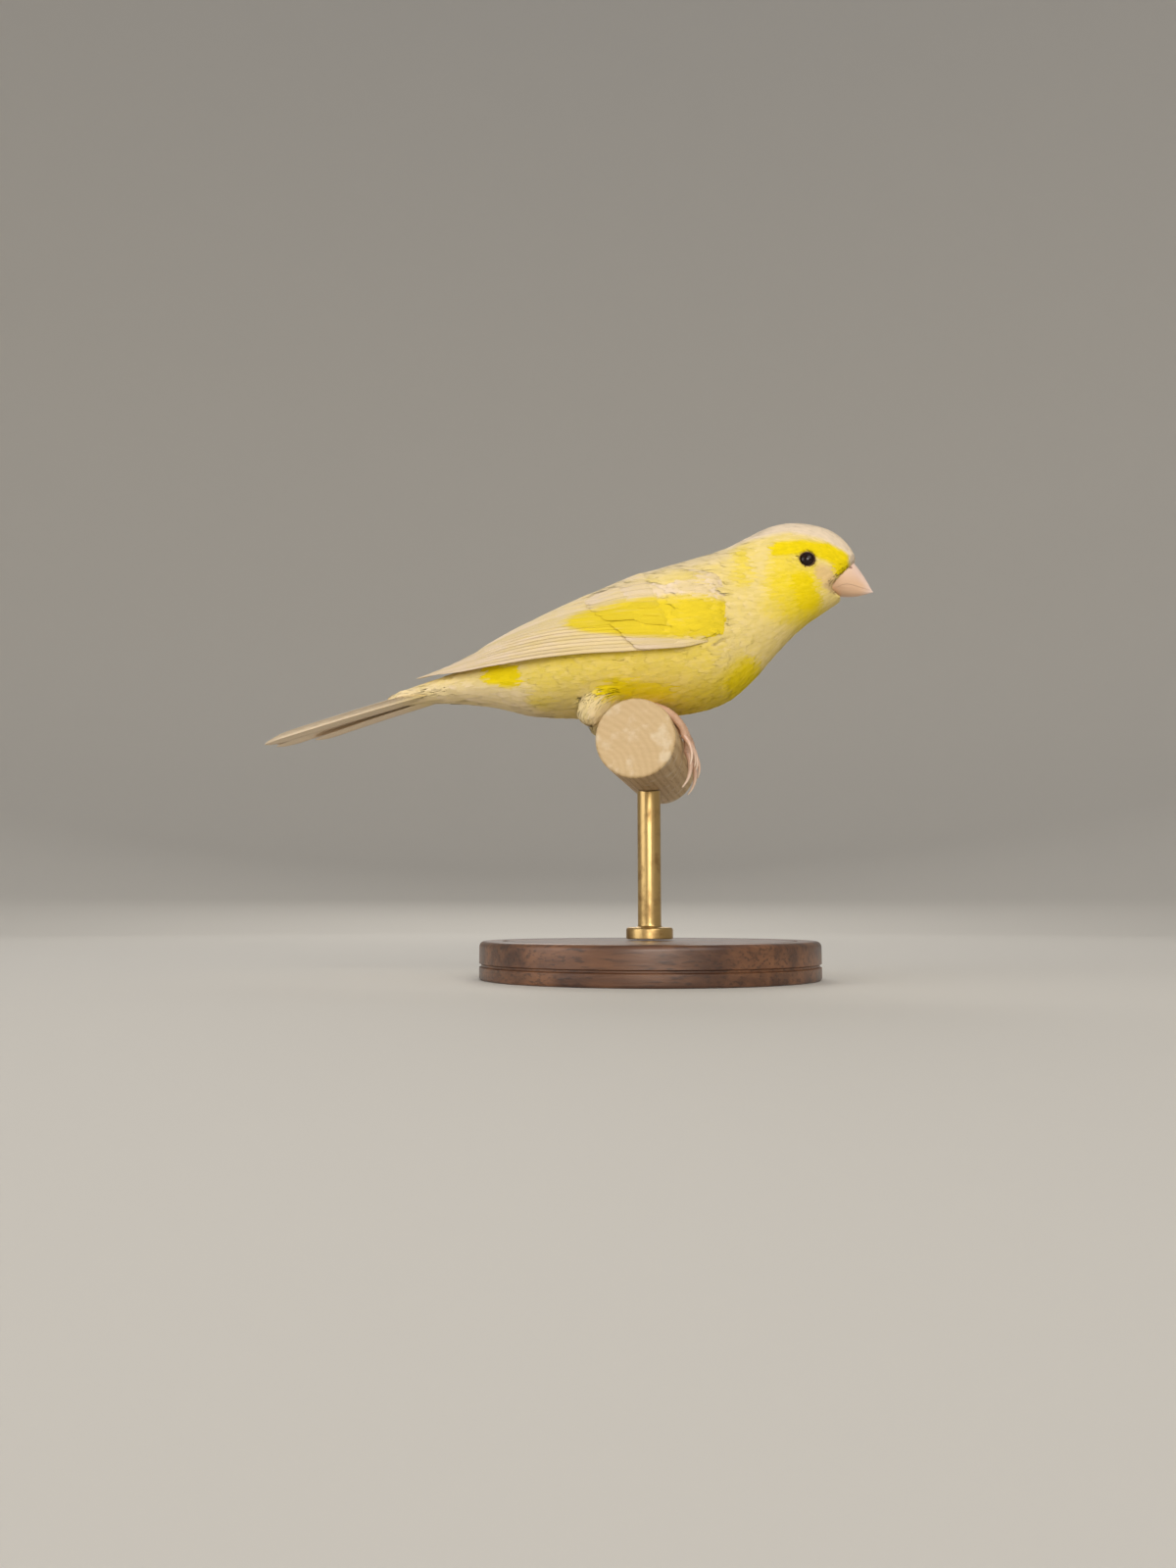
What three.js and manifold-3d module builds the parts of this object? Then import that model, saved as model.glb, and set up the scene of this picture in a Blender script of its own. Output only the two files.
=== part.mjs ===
// A life-size canary crouched on a short length of wooden dowel, which a plain display stand holds up.
// Millimetres, +Z up. The bird faces +X and the dowel runs along Y. The origin is the middle of the
// base's underside. Each touching pair of pieces keeps a small clearance.
import * as THREE from "three";
import { mergeVertices } from "three/addons/utils/BufferGeometryUtils.js";
import Module from "manifold-3d";

const wasm = await Module();
wasm.setup();

// Driving dimensions
const GAP = 0.3;
const BASE = { radius: 36, height: 8, bevel: 1.2, footBevel: 0.6, sides: 48 };
const PERCH = { radius: 8, front: -24, back: 30, height: 48, bevel: 0.7, sides: 40 };
const ROD = {
  radius: 2.5, collarRadius: 5, collarHeight: 2.5, collarBevel: 0.6, y: 1, sides: 20,
};

// Cross-sections of the feathered body from the seat of the bill to the ends of the tail coverts: the
// height of the top, of the widest level and of the underside, and half the width.
const BODY = [
  { x: 45, top: 88.6, mid: 87, bottom: 85.2, half: 1.5 },
  { x: 44.3, top: 90.7, mid: 86.8, bottom: 83, half: 2.8 },
  { x: 43.1, top: 92.7, mid: 86.6, bottom: 81.2, half: 4 },
  { x: 41, top: 94.9, mid: 86.3, bottom: 79.9, half: 5.3 },
  { x: 38, top: 96.5, mid: 85.6, bottom: 78, half: 6.9 },
  { x: 34, top: 97.5, mid: 84.6, bottom: 75.4, half: 8.3 },
  { x: 30, top: 97.7, mid: 83, bottom: 71.9, half: 9.1 },
  { x: 26, top: 96.7, mid: 80.2, bottom: 67.6, half: 10 },
  { x: 22, top: 94.8, mid: 76.6, bottom: 63.2, half: 11.5 },
  { x: 17, top: 92.3, mid: 73.2, bottom: 59.2, half: 13.8 },
  { x: 10, top: 90.2, mid: 72, bottom: 57, half: 15.9 },
  { x: 0, top: 87.4, mid: 70.8, bottom: 56.4, half: 16.8 },
  { x: -10, top: 83, mid: 69.4, bottom: 56.4, half: 16.2 },
  { x: -18, top: 78.6, mid: 68, bottom: 56.6, half: 14.2 },
  { x: -26, top: 74.2, mid: 66.6, bottom: 57.2, half: 11.3 },
  { x: -34, top: 70.4, mid: 65.3, bottom: 59.3, half: 8.2 },
  { x: -42, top: 67.4, mid: 64, bottom: 60.3, half: 5.9 },
  { x: -50, top: 64.9, mid: 62.8, bottom: 60.6, half: 4.4 },
  { x: -58, top: 62.4, mid: 61.2, bottom: 60, half: 2.9 },
];
const BODY_ROUND = 0.95; // under 1 makes a section fuller than an ellipse
const BODY_SIDES = 30;

// Thin cuts that part the head, neck, torso and tail: a point on each and the way it faces.
const CUTS = [
  { x: 26, z: 84, lean: 32 },
  { x: 14, z: 76, lean: 24 },
  { x: -33, z: 66, lean: -14 },
];

// The space ahead of the face's feathers, seen from the side: brow, gape, chin and well past the bill.
const FACE_EDGE = [[45.4, 88.9], [39, 82.2], [42.4, 81.1], [60, 78], [60, 88.9]];
const FACE_EDGE_HALF = 15;

// The bill, along its own axis, which points down from the head.
const BILL = {
  x: 38.9, z: 85.1, drop: 18.5, length: 10, up: 5.05, ridge: 0.4, down: 3, half: 3.6, tip: 0.16,
  sides: 18, rings: 9,
};
const MOUTH = { bendX: 42.6, bendZ: 83.4, frontDrop: 13, front: 12, backDrop: -24, back: 9, wide: 20 };
const NOSTRIL = { x: 44, y: 2.2, z: 87.2, radius: 0.55 };

// The eyeballs, and the ring of each one's lids: a little longer than high, and turned to the front.
const EYE = {
  x: 34.5, y: 6.4, z: 87.5, radius: 2.05,
  lidRadius: 1.85, lidThick: 0.4, lidOut: 1.65, lidLong: 1.1, lidTurn: -6,
};

// The folded wing lies on a shell round the body: half the shell's width, its widest level and top,
// and the angles round it of the wing's lower and upper edges.
const WING = [
  { x: 21.5, half: 11.3, mid: 73.8, top: 90.5, low: 4, high: 13 },
  { x: 19.5, half: 13.2, mid: 73.6, top: 91.6, low: -8, high: 27 },
  { x: 16, half: 15.2, mid: 73.1, top: 92.2, low: -13, high: 39 },
  { x: 8, half: 17.4, mid: 72, top: 90.4, low: -16, high: 53 },
  { x: 0, half: 18.2, mid: 71, top: 87.9, low: -17, high: 63 },
  { x: -10, half: 17.6, mid: 69.8, top: 83.5, low: -17, high: 72 },
  { x: -20, half: 15.5, mid: 68.6, top: 79.3, low: -17, high: 79 },
  { x: -30, half: 12, mid: 67.2, top: 75.1, low: -14, high: 83 },
  { x: -40, half: 8, mid: 66, top: 70.1, low: -8, high: 84 },
  { x: -50, half: 4.7, mid: 64.9, top: 66.5, low: 8, high: 78 },
  { x: -54, half: 3.7, mid: 64.4, top: 65.6, low: 12, high: 76 },
];
const WING_CORE = {
  front: 21, back: -38, depth: 1.9, outer: -0.3, edgeDip: 1.1, columns: 7, steps: 13,
  thinSteps: 4, thin: 0.45,
};

// The tracts of the folded wing, each from its lowest feather to its highest. Places across the wing
// run from 0 at its lower edge to 1 at its upper one. Widths and lifts are in millimetres, and tilt is
// how fast a vane dips under the one above it.
const TRACTS = [
  {
    count: 7, rootX: [12, 2], root: [0.08, 0.3], tipX: [-47, -50.5, -51.5, -49.5, -46.5, -43.5, -40.5],
    tip: [0.2, 0.62], half: [1.8, 2.4], tilt: 0.34, lift: 0.1, rows: 5,
  },
  {
    count: 5, rootX: [3, -4], root: [0.33, 0.62], tipX: [-38, -37.5, -37, -36.5, -36],
    tip: [0.48, 0.74], half: [2.4, 2.7], tilt: 0.34, lift: 0.15, rows: 5,
  },
  {
    count: 3, rootX: [-4, -3], root: [0.68, 0.88], tipX: [-34.5, -30.5, -25.5],
    tip: [0.76, 0.9], half: [2.9, 3.2], tilt: 0.3, lift: 0.45, rows: 5, across: 3,
  },
  {
    count: 3, rootX: [14, 10], root: [0.1, 0.26], tipX: [-0.5, -3, -5],
    tip: [0.1, 0.3], half: [1.8, 2], tilt: 0.34, lift: 0.5, rows: 4,
  },
  {
    count: 6, rootX: [6, -2], root: [0.36, 0.84], tipX: [-8, -10, -11.5, -12.5, -12.5, -12],
    tip: [0.4, 0.86], half: [2.1, 2.3], tilt: 0.32, lift: 0.5, rows: 4,
  },
  {
    count: 5, rootX: [9, 3], root: [0.32, 0.84], tipX: [-0.5, -2.5, -4, -5, -5],
    tip: [0.36, 0.86], half: [2.1, 2.3], tilt: 0.3, lift: 0.75, rows: 4,
  },
];
const VANE_THICK = { root: 0.6, tip: 0.5 };

// The tail, from its root under the coverts to the tips of its feathers.
const TAIL = {
  pairs: 6, rootX: -40, rootZ: 66.2, drop: 15.2, length: 46, notch: 2.6, half: 2.7, outerHalf: 2.2,
  firstRoot: 0.4, rootSpread: 0.3, firstTip: 1.2, tipSpread: 0.46, step: 0.34, sideStep: 0.18,
  thick: 0.5,
};
const GROWING = { short: 9, spread: 0.9, under: 0.4 }; // the left outermost feather, part grown

// The feathered thighs and the bare legs and feet.
const THIGH = { x: -9.6, y: 7.9, z: 59.2, length: 16, half: 5, lean: 30, rings: 9, sides: 14 };
const FOOT = {
  y: 7.2, ball: 84, ballRadius: 1.45, heelX: -12.8, heelZ: 57.6, heelOut: 0.6, shin: 1.15, bow: 0.5,
};

// The toes round the dowel, in degrees from the ball of the foot to the claw and on to the claw's
// tip, with how far each splays outwards: middle, outer, inner and hind.
const TOES = [
  { sweep: -90, claw: -40, splay: 0.4, radius: 1, lift: 2.2 },
  { sweep: -72, claw: -34, splay: 4.4, radius: 0.92, lift: 1.6 },
  { sweep: -68, claw: -34, splay: -3.8, radius: 0.92, lift: 1.6 },
  { sweep: 64, claw: 52, splay: -0.8, radius: 1, lift: 1.4 },
];

const SEED = 19;
const SHORTEST = 0.02; // edges shorter than this are closed up

const rad = THREE.MathUtils.degToRad;
const lerp = THREE.MathUtils.lerp;

// Draws between 0 and 1 that repeat from one run to the next.
let drawn = SEED;
function random() {
  drawn = (drawn * 16807) % 2147483647;
  return drawn / 2147483647;
}

// A smooth curve through stations that are listed from high x to low x.
function along(stations, key) {
  const xs = stations.map((s) => s.x);
  const ys = stations.map((s) => s[key]);
  const slope = xs.map((_, i) => {
    const a = Math.max(i - 1, 0);
    const b = Math.min(i + 1, xs.length - 1);
    return (ys[b] - ys[a]) / (xs[b] - xs[a]);
  });
  return (x) => {
    let i = 0;
    while (i < xs.length - 2 && x < xs[i + 1]) i += 1;
    const h = xs[i + 1] - xs[i];
    const t = THREE.MathUtils.clamp((x - xs[i]) / h, 0, 1);
    const rise = t * t * (3 - 2 * t);
    const lead = t * (1 - t) * (1 - t) * h * slope[i];
    const trail = t * t * (t - 1) * h * slope[i + 1];
    return ys[i] + (ys[i + 1] - ys[i]) * rise + lead + trail;
  };
}

const body = Object.fromEntries(["top", "mid", "bottom", "half"].map((k) => [k, along(BODY, k)]));
const wing = Object.fromEntries(["half", "mid", "top", "low", "high"].map((k) => [k, along(WING, k)]));

// A cosine or sine pulled out towards a fuller section.
const full = (v) => Math.sign(v) * Math.abs(v) ** BODY_ROUND;

// A point on the body at angle a round its section, grown outwards by `grow`. Angle 0 is the left
// side, 90 the back and 180 the right side.
function bodyPoint(x, a, grow = 0) {
  const c = full(Math.cos(rad(a)));
  const s = full(Math.sin(rad(a)));
  const rise = s > 0 ? body.top(x) - body.mid(x) : body.mid(x) - body.bottom(x);
  return new THREE.Vector3(x, (body.half(x) + grow) * c, body.mid(x) + (rise + grow) * s);
}

// A closed solid from rings of points, each end closed by a fan. Faces are turned outwards.
function loft(rings) {
  const n = rings[0].length;
  const points = rings.flat();
  const middle = (ring) => ring.reduce((m, p) => m.add(p), new THREE.Vector3()).divideScalar(n);
  const first = points.push(middle(rings[0])) - 1;
  const last = points.push(middle(rings[rings.length - 1])) - 1;
  const tris = [];
  for (let j = 0; j < n; j += 1) {
    const k = (j + 1) % n;
    for (let i = 0; i < rings.length - 1; i += 1) {
      const a = i * n;
      tris.push(a + j, a + k, a + n + j, a + k, a + n + k, a + n + j);
    }
    tris.push(first, k, j);
    tris.push(last, last - 1 - n + j, last - 1 - n + k);
  }
  return solid(points, tris);
}

// A closed solid from points and triangles, whichever way round the triangles all run.
function solid(points, tris) {
  const vertProperties = new Float32Array(points.flatMap((p) => [p.x, p.y, p.z]));
  const made = (order) =>
    new wasm.Manifold(new wasm.Mesh({ numProp: 3, vertProperties, triVerts: new Uint32Array(order) }));
  const out = made(tris);
  if (out.volume() > 0) return out;
  const turned = [];
  for (let i = 0; i < tris.length; i += 3) turned.push(tris[i], tris[i + 2], tris[i + 1]);
  return made(turned);
}

// A closed solid from a three.js geometry, moved into place by a matrix.
function fromGeometry(geometry, matrix = new THREE.Matrix4()) {
  const g = geometry.clone().applyMatrix4(matrix);
  g.deleteAttribute("normal");
  g.deleteAttribute("uv");
  const merged = mergeVertices(g, 1e-4);
  return new wasm.Manifold(
    new wasm.Mesh({
      numProp: 3,
      vertProperties: merged.attributes.position.array,
      triVerts: new Uint32Array(merged.index.array),
    }),
  );
}

const union = (solids) => wasm.Manifold.union(solids);

// The largest closed surface of a joined solid: edges too short to matter are closed up, and loose
// scraps and sealed hollows are dropped.
function largest(made) {
  return made.simplify(SHORTEST).decompose().sort((a, b) => b.volume() - a.volume())[0];
}

function ball(x, y, z, radius, detail = 2) {
  const place = new THREE.Matrix4().makeTranslation(x, y, z);
  return fromGeometry(new THREE.IcosahedronGeometry(radius, detail), place);
}

// A thin wide box, used as a cutter, that faces along +X leant down by `lean` degrees.
function slab(x, z, lean, thick = GAP, tall = 90, wide = 90) {
  const turn = new THREE.Matrix4().makeRotationY(rad(-lean));
  turn.premultiply(new THREE.Matrix4().makeTranslation(x, 0, z));
  return fromGeometry(new THREE.BoxGeometry(thick, wide, tall), turn);
}

// A round tube through points, thick at each point by its own radius.
function tube(points, radii, sides = 8) {
  const rings = points.map((p, i) => {
    const before = points[Math.max(i - 1, 0)];
    const after = points[Math.min(i + 1, points.length - 1)];
    const way = after.clone().sub(before).normalize();
    const side = new THREE.Vector3(0, 1, 0).cross(way).normalize();
    const up = way.clone().cross(side);
    return Array.from({ length: sides }, (_, j) => {
      const a = (2 * Math.PI * j) / sides;
      return p
        .clone()
        .addScaledVector(side, radii[i] * Math.cos(a))
        .addScaledVector(up, radii[i] * Math.sin(a));
    });
  });
  return loft(rings);
}

// A thin plate from a grid of points and the normals there, with like triangles on both faces.
function plate(rows, normals, thickness) {
  const nu = rows.length;
  const nv = rows[0].length;
  const face = (side) =>
    rows.flatMap((row, i) =>
      row.map((p, j) => p.clone().addScaledVector(normals[i][j], (side * thickness(i, j)) / 2)),
    );
  const points = [...face(1), ...face(-1)];
  const under = nu * nv;
  const tris = [];
  const quad = (a, b, c, d) => tris.push(a, b, c, b, d, c);
  for (let i = 0; i < nu - 1; i += 1)
    for (let j = 0; j < nv - 1; j += 1) {
      const a = i * nv + j;
      tris.push(a, a + nv, a + 1, a + 1, a + nv, a + nv + 1);
      tris.push(under + a, under + a + 1, under + a + nv);
      tris.push(under + a + 1, under + a + nv + 1, under + a + nv);
    }
  for (let i = 0; i < nu - 1; i += 1) {
    const a = i * nv;
    const b = a + nv - 1;
    quad(a, under + a, a + nv, under + a + nv);
    quad(under + b, b, under + b + nv, b + nv);
  }
  for (let j = 0; j < nv - 1; j += 1) {
    const b = (nu - 1) * nv + j;
    quad(under + j, j, under + j + 1, j + 1);
    quad(b, under + b, b + 1, under + b + 1);
  }
  return solid(points, tris);
}

// Body, parted into head, neck, torso and the root of the tail
const spaced = (from, to, n) => Array.from({ length: n }, (_, i) => lerp(from, to, i / n));
const BODY_XS = [
  45, 44.3, 43.1, 41.5, ...spaced(39.8, 21.8, 9), ...spaced(21.8, -30, 15), ...spaced(-30, -58.1, 7),
];

function bodySolid(grow) {
  const ends = BODY_XS.map((x, i) => (i === 0 ? x + grow : i === BODY_XS.length - 1 ? x - grow : x));
  return loft(
    ends.map((x) =>
      Array.from({ length: BODY_SIDES }, (_, j) => bodyPoint(x, (360 * j) / BODY_SIDES, grow)),
    ),
  );
}

const wholeBody = bodySolid(0);
const bodyClear = bodySolid(GAP);
const parted = wholeBody
  .subtract(union(CUTS.map((c) => slab(c.x, c.z, c.lean))))
  .decompose()
  .filter((s) => s.volume() > 1)
  .sort((a, b) => b.boundingBox().max[0] - a.boundingBox().max[0]);
const [headBlank, neck, torsoBlank, tailRoot] = parted;

// Bill: one cone with a curved ridge, parted by the line of the mouth
function billSolid(grow) {
  const rings = Array.from({ length: BILL.rings }, (_, i) => {
    const t = 1 - (1 - i / (BILL.rings - 1)) ** 1.4; // closer together towards the tip
    const up = BILL.up * (1 - (Math.max(t - BILL.ridge, 0) / (1 - BILL.ridge)) ** 1.25);
    const down = BILL.down * (1 - t ** 2.6);
    const half = Math.max(BILL.half * (1 - t ** 1.8), BILL.tip) + grow;
    return Array.from({ length: BILL.sides }, (_, j) => {
      const a = (2 * Math.PI * j) / BILL.sides;
      const s = Math.sin(a);
      const rise = Math.max(s > 0 ? up : down, BILL.tip) + grow;
      return new THREE.Vector3(t * BILL.length + (i ? grow : -grow), half * Math.cos(a), rise * s);
    });
  });
  const place = new THREE.Matrix4().makeRotationY(rad(BILL.drop));
  place.premultiply(new THREE.Matrix4().makeTranslation(BILL.x, 0, BILL.z));
  return loft(rings.map((ring) => ring.map((p) => p.applyMatrix4(place))));
}

// The cut between the two halves of the bill, in two straight stretches that bend near its base.
function mouthCutter() {
  const stretch = (length, drop, way) => {
    const a = rad(drop);
    const x = MOUTH.bendX + (way * length * Math.cos(a)) / 2;
    const z = MOUTH.bendZ - (way * length * Math.sin(a)) / 2;
    const turn = new THREE.Matrix4().makeRotationY(a);
    turn.premultiply(new THREE.Matrix4().makeTranslation(x, 0, z));
    return fromGeometry(new THREE.BoxGeometry(length + GAP, MOUTH.wide, GAP), turn);
  };
  return union([
    stretch(MOUTH.front, MOUTH.frontDrop, 1),
    stretch(MOUTH.back, MOUTH.backDrop, -1),
  ]);
}

const billHalves = billSolid(0)
  .subtract(mouthCutter())
  .decompose()
  .sort((a, b) => b.boundingBox().max[2] - a.boundingBox().max[2]);
const nostrils = union([1, -1].map((s) => ball(NOSTRIL.x, s * NOSTRIL.y, NOSTRIL.z, NOSTRIL.radius, 1)));
const billUpper = largest(billHalves[0].subtract(nostrils));
const billLower = largest(billHalves[1]);

// Head: sockets for the eyes, a lid round each, and a seat for the bill
function lidRing(side) {
  const ring = new THREE.TorusGeometry(EYE.lidRadius, EYE.lidThick, 6, 16);
  const turn = new THREE.Matrix4().makeScale(EYE.lidLong, 1, 1);
  turn.premultiply(new THREE.Matrix4().makeRotationX(rad(90)));
  turn.premultiply(new THREE.Matrix4().makeRotationZ(rad(side * EYE.lidTurn)));
  turn.premultiply(new THREE.Matrix4().makeTranslation(EYE.x, side * (EYE.y + EYE.lidOut), EYE.z));
  return fromGeometry(ring, turn);
}

const sockets = union([1, -1].map((s) => ball(EYE.x, s * EYE.y, EYE.z, EYE.radius + GAP)));
function aheadOfFace() {
  const shape = new THREE.Shape(FACE_EDGE.map(([x, z]) => new THREE.Vector2(x, z)));
  const block = new THREE.ExtrudeGeometry(shape, { depth: 2 * FACE_EDGE_HALF, bevelEnabled: false });
  const place = new THREE.Matrix4().makeRotationX(rad(90));
  place.premultiply(new THREE.Matrix4().makeTranslation(0, FACE_EDGE_HALF, 0));
  return fromGeometry(block, place);
}

const head = largest(
  union([headBlank, lidRing(1), lidRing(-1)]).subtract(union([sockets, billSolid(GAP), aheadOfFace()])),
);

// Wings
function shellPoint(x, a, lift) {
  const h = wing.half(x);
  const rise = wing.top(x) - wing.mid(x);
  const c = full(Math.cos(rad(a)));
  const s = full(Math.sin(rad(a)));
  return new THREE.Vector3(x, (h + lift) * c, wing.mid(x) + (rise + lift) * s);
}

function shellNormal(x, a) {
  const du = shellPoint(x - 0.5, a, 0).sub(shellPoint(x + 0.5, a, 0));
  const dv = shellPoint(x, a + 1, 0).sub(shellPoint(x, a - 1, 0));
  return du.cross(dv).normalize();
}

// A feather's outline: how wide it is, out of its fullest width, from its root to its tip.
const VANE_OUTLINE = [[0, 0.62], [0.32, 0.95], [0.68, 1], [0.92, 0.78], [1, 0.26]];

function vaneWidth(t) {
  const i = Math.max(VANE_OUTLINE.findIndex(([at]) => at >= t), 1);
  const [t0, w0] = VANE_OUTLINE[i - 1];
  const [t1, w1] = VANE_OUTLINE[i];
  return lerp(w0, w1, (t - t0) / (t1 - t0));
}

const alongVane = (rows) => (rows > 4 ? [0, 0.32, 0.68, 0.92, 1] : [0, 0.45, 0.86, 1]);

// How deep a wing feather's root is sunk, and how far along the feather that ends.
const SUNK = { depth: 1.1, until: 0.45 };

// One feather of the wing, lying on the shell from its sunk root to its tip. Its lower edge stands
// over the feather below and its upper edge dips under the one above.
function wingVane({ root, tip, half, tilt, lift, rows, across = 2 }) {
  const points = [];
  const normals = [];
  for (const t of alongVane(rows)) {
    const x = lerp(root.x, tip.x, t);
    const middle = lerp(wing.low(x), wing.high(x), lerp(root.s, tip.s, t));
    const axis = new THREE.Vector3(x, 0, wing.mid(x));
    const perMm = THREE.MathUtils.radToDeg(1 / shellPoint(x, middle, 0).distanceTo(axis));
    const sunk = SUNK.depth * Math.max(1 - t / SUNK.until, 0);
    const width = half * vaneWidth(t);
    const offsets = Array.from({ length: across }, (_, j) => lerp(-width, width, j / (across - 1)));
    points.push(offsets.map((w) => shellPoint(x, middle + w * perMm, lift - sunk - tilt * w)));
    normals.push(offsets.map((w) => shellNormal(x, middle + w * perMm)));
  }
  const last = points.length - 1;
  return plate(points, normals, (i) => lerp(VANE_THICK.root, VANE_THICK.tip, i / last));
}

function tractVanes(tract) {
  const at = ([from, to], i) => lerp(from, to, i / (tract.count - 1));
  return Array.from({ length: tract.count }, (_, i) =>
    wingVane({
      ...tract,
      root: { x: at(tract.rootX, i), s: at(tract.root, i) },
      tip: { x: tract.tipX[i], s: at(tract.tip, i) },
      half: at(tract.half, i) * (1 + 0.04 * (random() - 0.5)),
    }),
  );
}

// The flesh and small feathers that the wing's vanes are rooted in. Its edges dip into the body.
function wingCore() {
  const { front, back, depth, outer, edgeDip, columns, steps, thinSteps, thin } = WING_CORE;
  const points = [];
  const normals = [];
  for (let i = 0; i <= steps; i += 1) {
    const x = lerp(front, back, i / steps);
    const across = Array.from({ length: columns }, (_, j) => j / (columns - 1));
    const angles = across.map((v) => lerp(wing.low(x), wing.high(x), v));
    const edge = across.map((v) => (v === 0 || v === 1 ? edgeDip : 0));
    points.push(angles.map((a, j) => shellPoint(x, a, outer - depth / 2 - edge[j])));
    normals.push(angles.map((a) => shellNormal(x, a)));
  }
  const thinning = (i) => Math.max((i - steps + thinSteps) / thinSteps, 0);
  return plate(points, normals, (i) => depth * lerp(1, thin, thinning(i)));
}

const mirror = (made) => made.mirror([0, 1, 0]);
const halfSpace = fromGeometry(
  new THREE.BoxGeometry(200, 100, 200),
  new THREE.Matrix4().makeTranslation(0, 50 + GAP / 2, 60),
);
const wingSolid = union([wingCore(), ...TRACTS.flatMap(tractVanes)]);
const wingLeft = largest(wingSolid.subtract(bodyClear).intersect(halfSpace));
const wingRight = mirror(wingLeft);

// Tail
// One tail feather: pair 0 is the middle one, on top, and each pair outwards lies under the last.
function tailFeather(pair, side) {
  const growing = pair === TAIL.pairs - 1 && side > 0 ? GROWING : { short: 0, spread: 0, under: 0 };
  const outwards = pair / (TAIL.pairs - 1);
  const root = TAIL.firstRoot + TAIL.rootSpread * pair;
  const tip = TAIL.firstTip + TAIL.tipSpread * pair + growing.spread;
  const length = TAIL.length + TAIL.notch * Math.sin((Math.PI / 2) * outwards) - growing.short;
  const half = lerp(TAIL.half, TAIL.outerHalf, outwards);
  const under = -TAIL.step * pair - (side < 0 ? TAIL.sideStep : 0) - growing.under;
  const place = new THREE.Matrix4().makeRotationY(rad(-TAIL.drop));
  place.premultiply(new THREE.Matrix4().makeTranslation(TAIL.rootX, 0, TAIL.rootZ));
  const up = new THREE.Vector3(0, 0, 1).transformDirection(place);
  const rows = alongVane(5).map((t) => {
    const middle = side * lerp(root, tip, t);
    const width = half * vaneWidth(t);
    const edge = (v) => new THREE.Vector3(-t * length, middle + v * width, under);
    return [-1, 1].map((v) => edge(v).applyMatrix4(place));
  });
  return plate(rows, rows.map((row) => row.map(() => up)), () => TAIL.thick);
}

const tailFeathers = Array.from({ length: 2 * TAIL.pairs }, (_, i) =>
  tailFeather(Math.floor(i / 2), i % 2 ? -1 : 1),
);
const torsoReach = 7; // how far ahead of its cut the torso is kept clear of the feathers' roots
const torsoClear = slab(
  CUTS[2].x + torsoReach / 2, CUTS[2].z, CUTS[2].lean, torsoReach + GAP,
);
const tail = largest(union([tailRoot, ...tailFeathers]).subtract(torsoClear));

// Thighs, legs and feet
function thighSolid(side, grow = 0) {
  const rings = Array.from({ length: THIGH.rings }, (_, i) => {
    const t = i / (THIGH.rings - 1);
    const size = Math.sin(Math.PI * (0.08 + 0.86 * t ** 0.7)) ** 0.55 * (1 - 0.45 * t);
    return Array.from({ length: THIGH.sides }, (_, j) => {
      const a = (2 * Math.PI * j) / THIGH.sides;
      const r = THIGH.half * size + grow;
      return new THREE.Vector3(r * Math.cos(a), r * Math.sin(a), -(t - 0.5) * THIGH.length);
    });
  });
  const place = new THREE.Matrix4().makeRotationY(rad(THIGH.lean));
  place.premultiply(new THREE.Matrix4().makeTranslation(THIGH.x, side * THIGH.y, THIGH.z));
  return loft(rings.map((ring) => ring.map((p) => p.applyMatrix4(place))));
}

// A point round the dowel, at an angle from the front and a distance off its face.
function roundPerch(angle, off, y) {
  const r = PERCH.radius + off;
  return new THREE.Vector3(r * Math.cos(rad(angle)), y, PERCH.height + r * Math.sin(rad(angle)));
}

// A toe that wraps the dowel from the ball of the foot, then its claw, which stands a little off.
function toe(side, { sweep, claw, splay, radius, lift }) {
  const steps = 7;
  const clawSteps = 4;
  const y = (out) => side * (FOOT.y + splay * out);
  const points = [];
  const radii = [];
  for (let i = 0; i <= steps; i += 1) {
    const t = i / steps;
    const knuckle = 1 + 0.1 * Math.cos(6 * Math.PI * t);
    points.push(roundPerch(FOOT.ball + sweep * t, GAP + radius, y(t)));
    radii.push(radius * lerp(1, 0.8, t) * knuckle);
  }
  for (let i = 1; i <= clawSteps; i += 1) {
    const t = i / clawSteps;
    const off = GAP + radius + lift * Math.sin((Math.PI / 2) * t);
    points.push(roundPerch(FOOT.ball + sweep + claw * t, off, y(1 + 0.15 * t)));
    radii.push(lerp(radius * 0.62, 0.14, t));
  }
  return tube(points, radii, 7);
}

function footSolid(side) {
  const heel = new THREE.Vector3(FOOT.heelX, side * (FOOT.y + FOOT.heelOut), FOOT.heelZ);
  const ankle = roundPerch(FOOT.ball, GAP + 1.3, side * FOOT.y);
  const shinPoints = [0, 0.25, 0.5, 0.75, 1].map((t) => {
    const p = heel.clone().lerp(ankle, t);
    p.z += FOOT.bow * Math.sin(Math.PI * t);
    return p;
  });
  const shin = tube(shinPoints, [1.5, FOOT.shin, FOOT.shin * 0.9, FOOT.shin, 1.35], 10);
  const toes = TOES.map((t) => toe(side, t));
  return union([...toes, shin, ball(ankle.x, ankle.y, ankle.z, FOOT.ballRadius)]);
}

const perchClear = fromGeometry(
  new THREE.CylinderGeometry(PERCH.radius + GAP, PERCH.radius + GAP, 90, PERCH.sides),
  new THREE.Matrix4().makeTranslation(0, 0, PERCH.height),
);
const thighLeft = largest(thighSolid(1).subtract(union([bodyClear, perchClear])));
const thighRight = mirror(thighLeft);

// The foot loses what the feathers of the belly and thigh hide.
const footLeft = largest(footSolid(1).subtract(union([bodyClear, thighSolid(1, GAP)])));
const footRight = mirror(footLeft);

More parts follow.
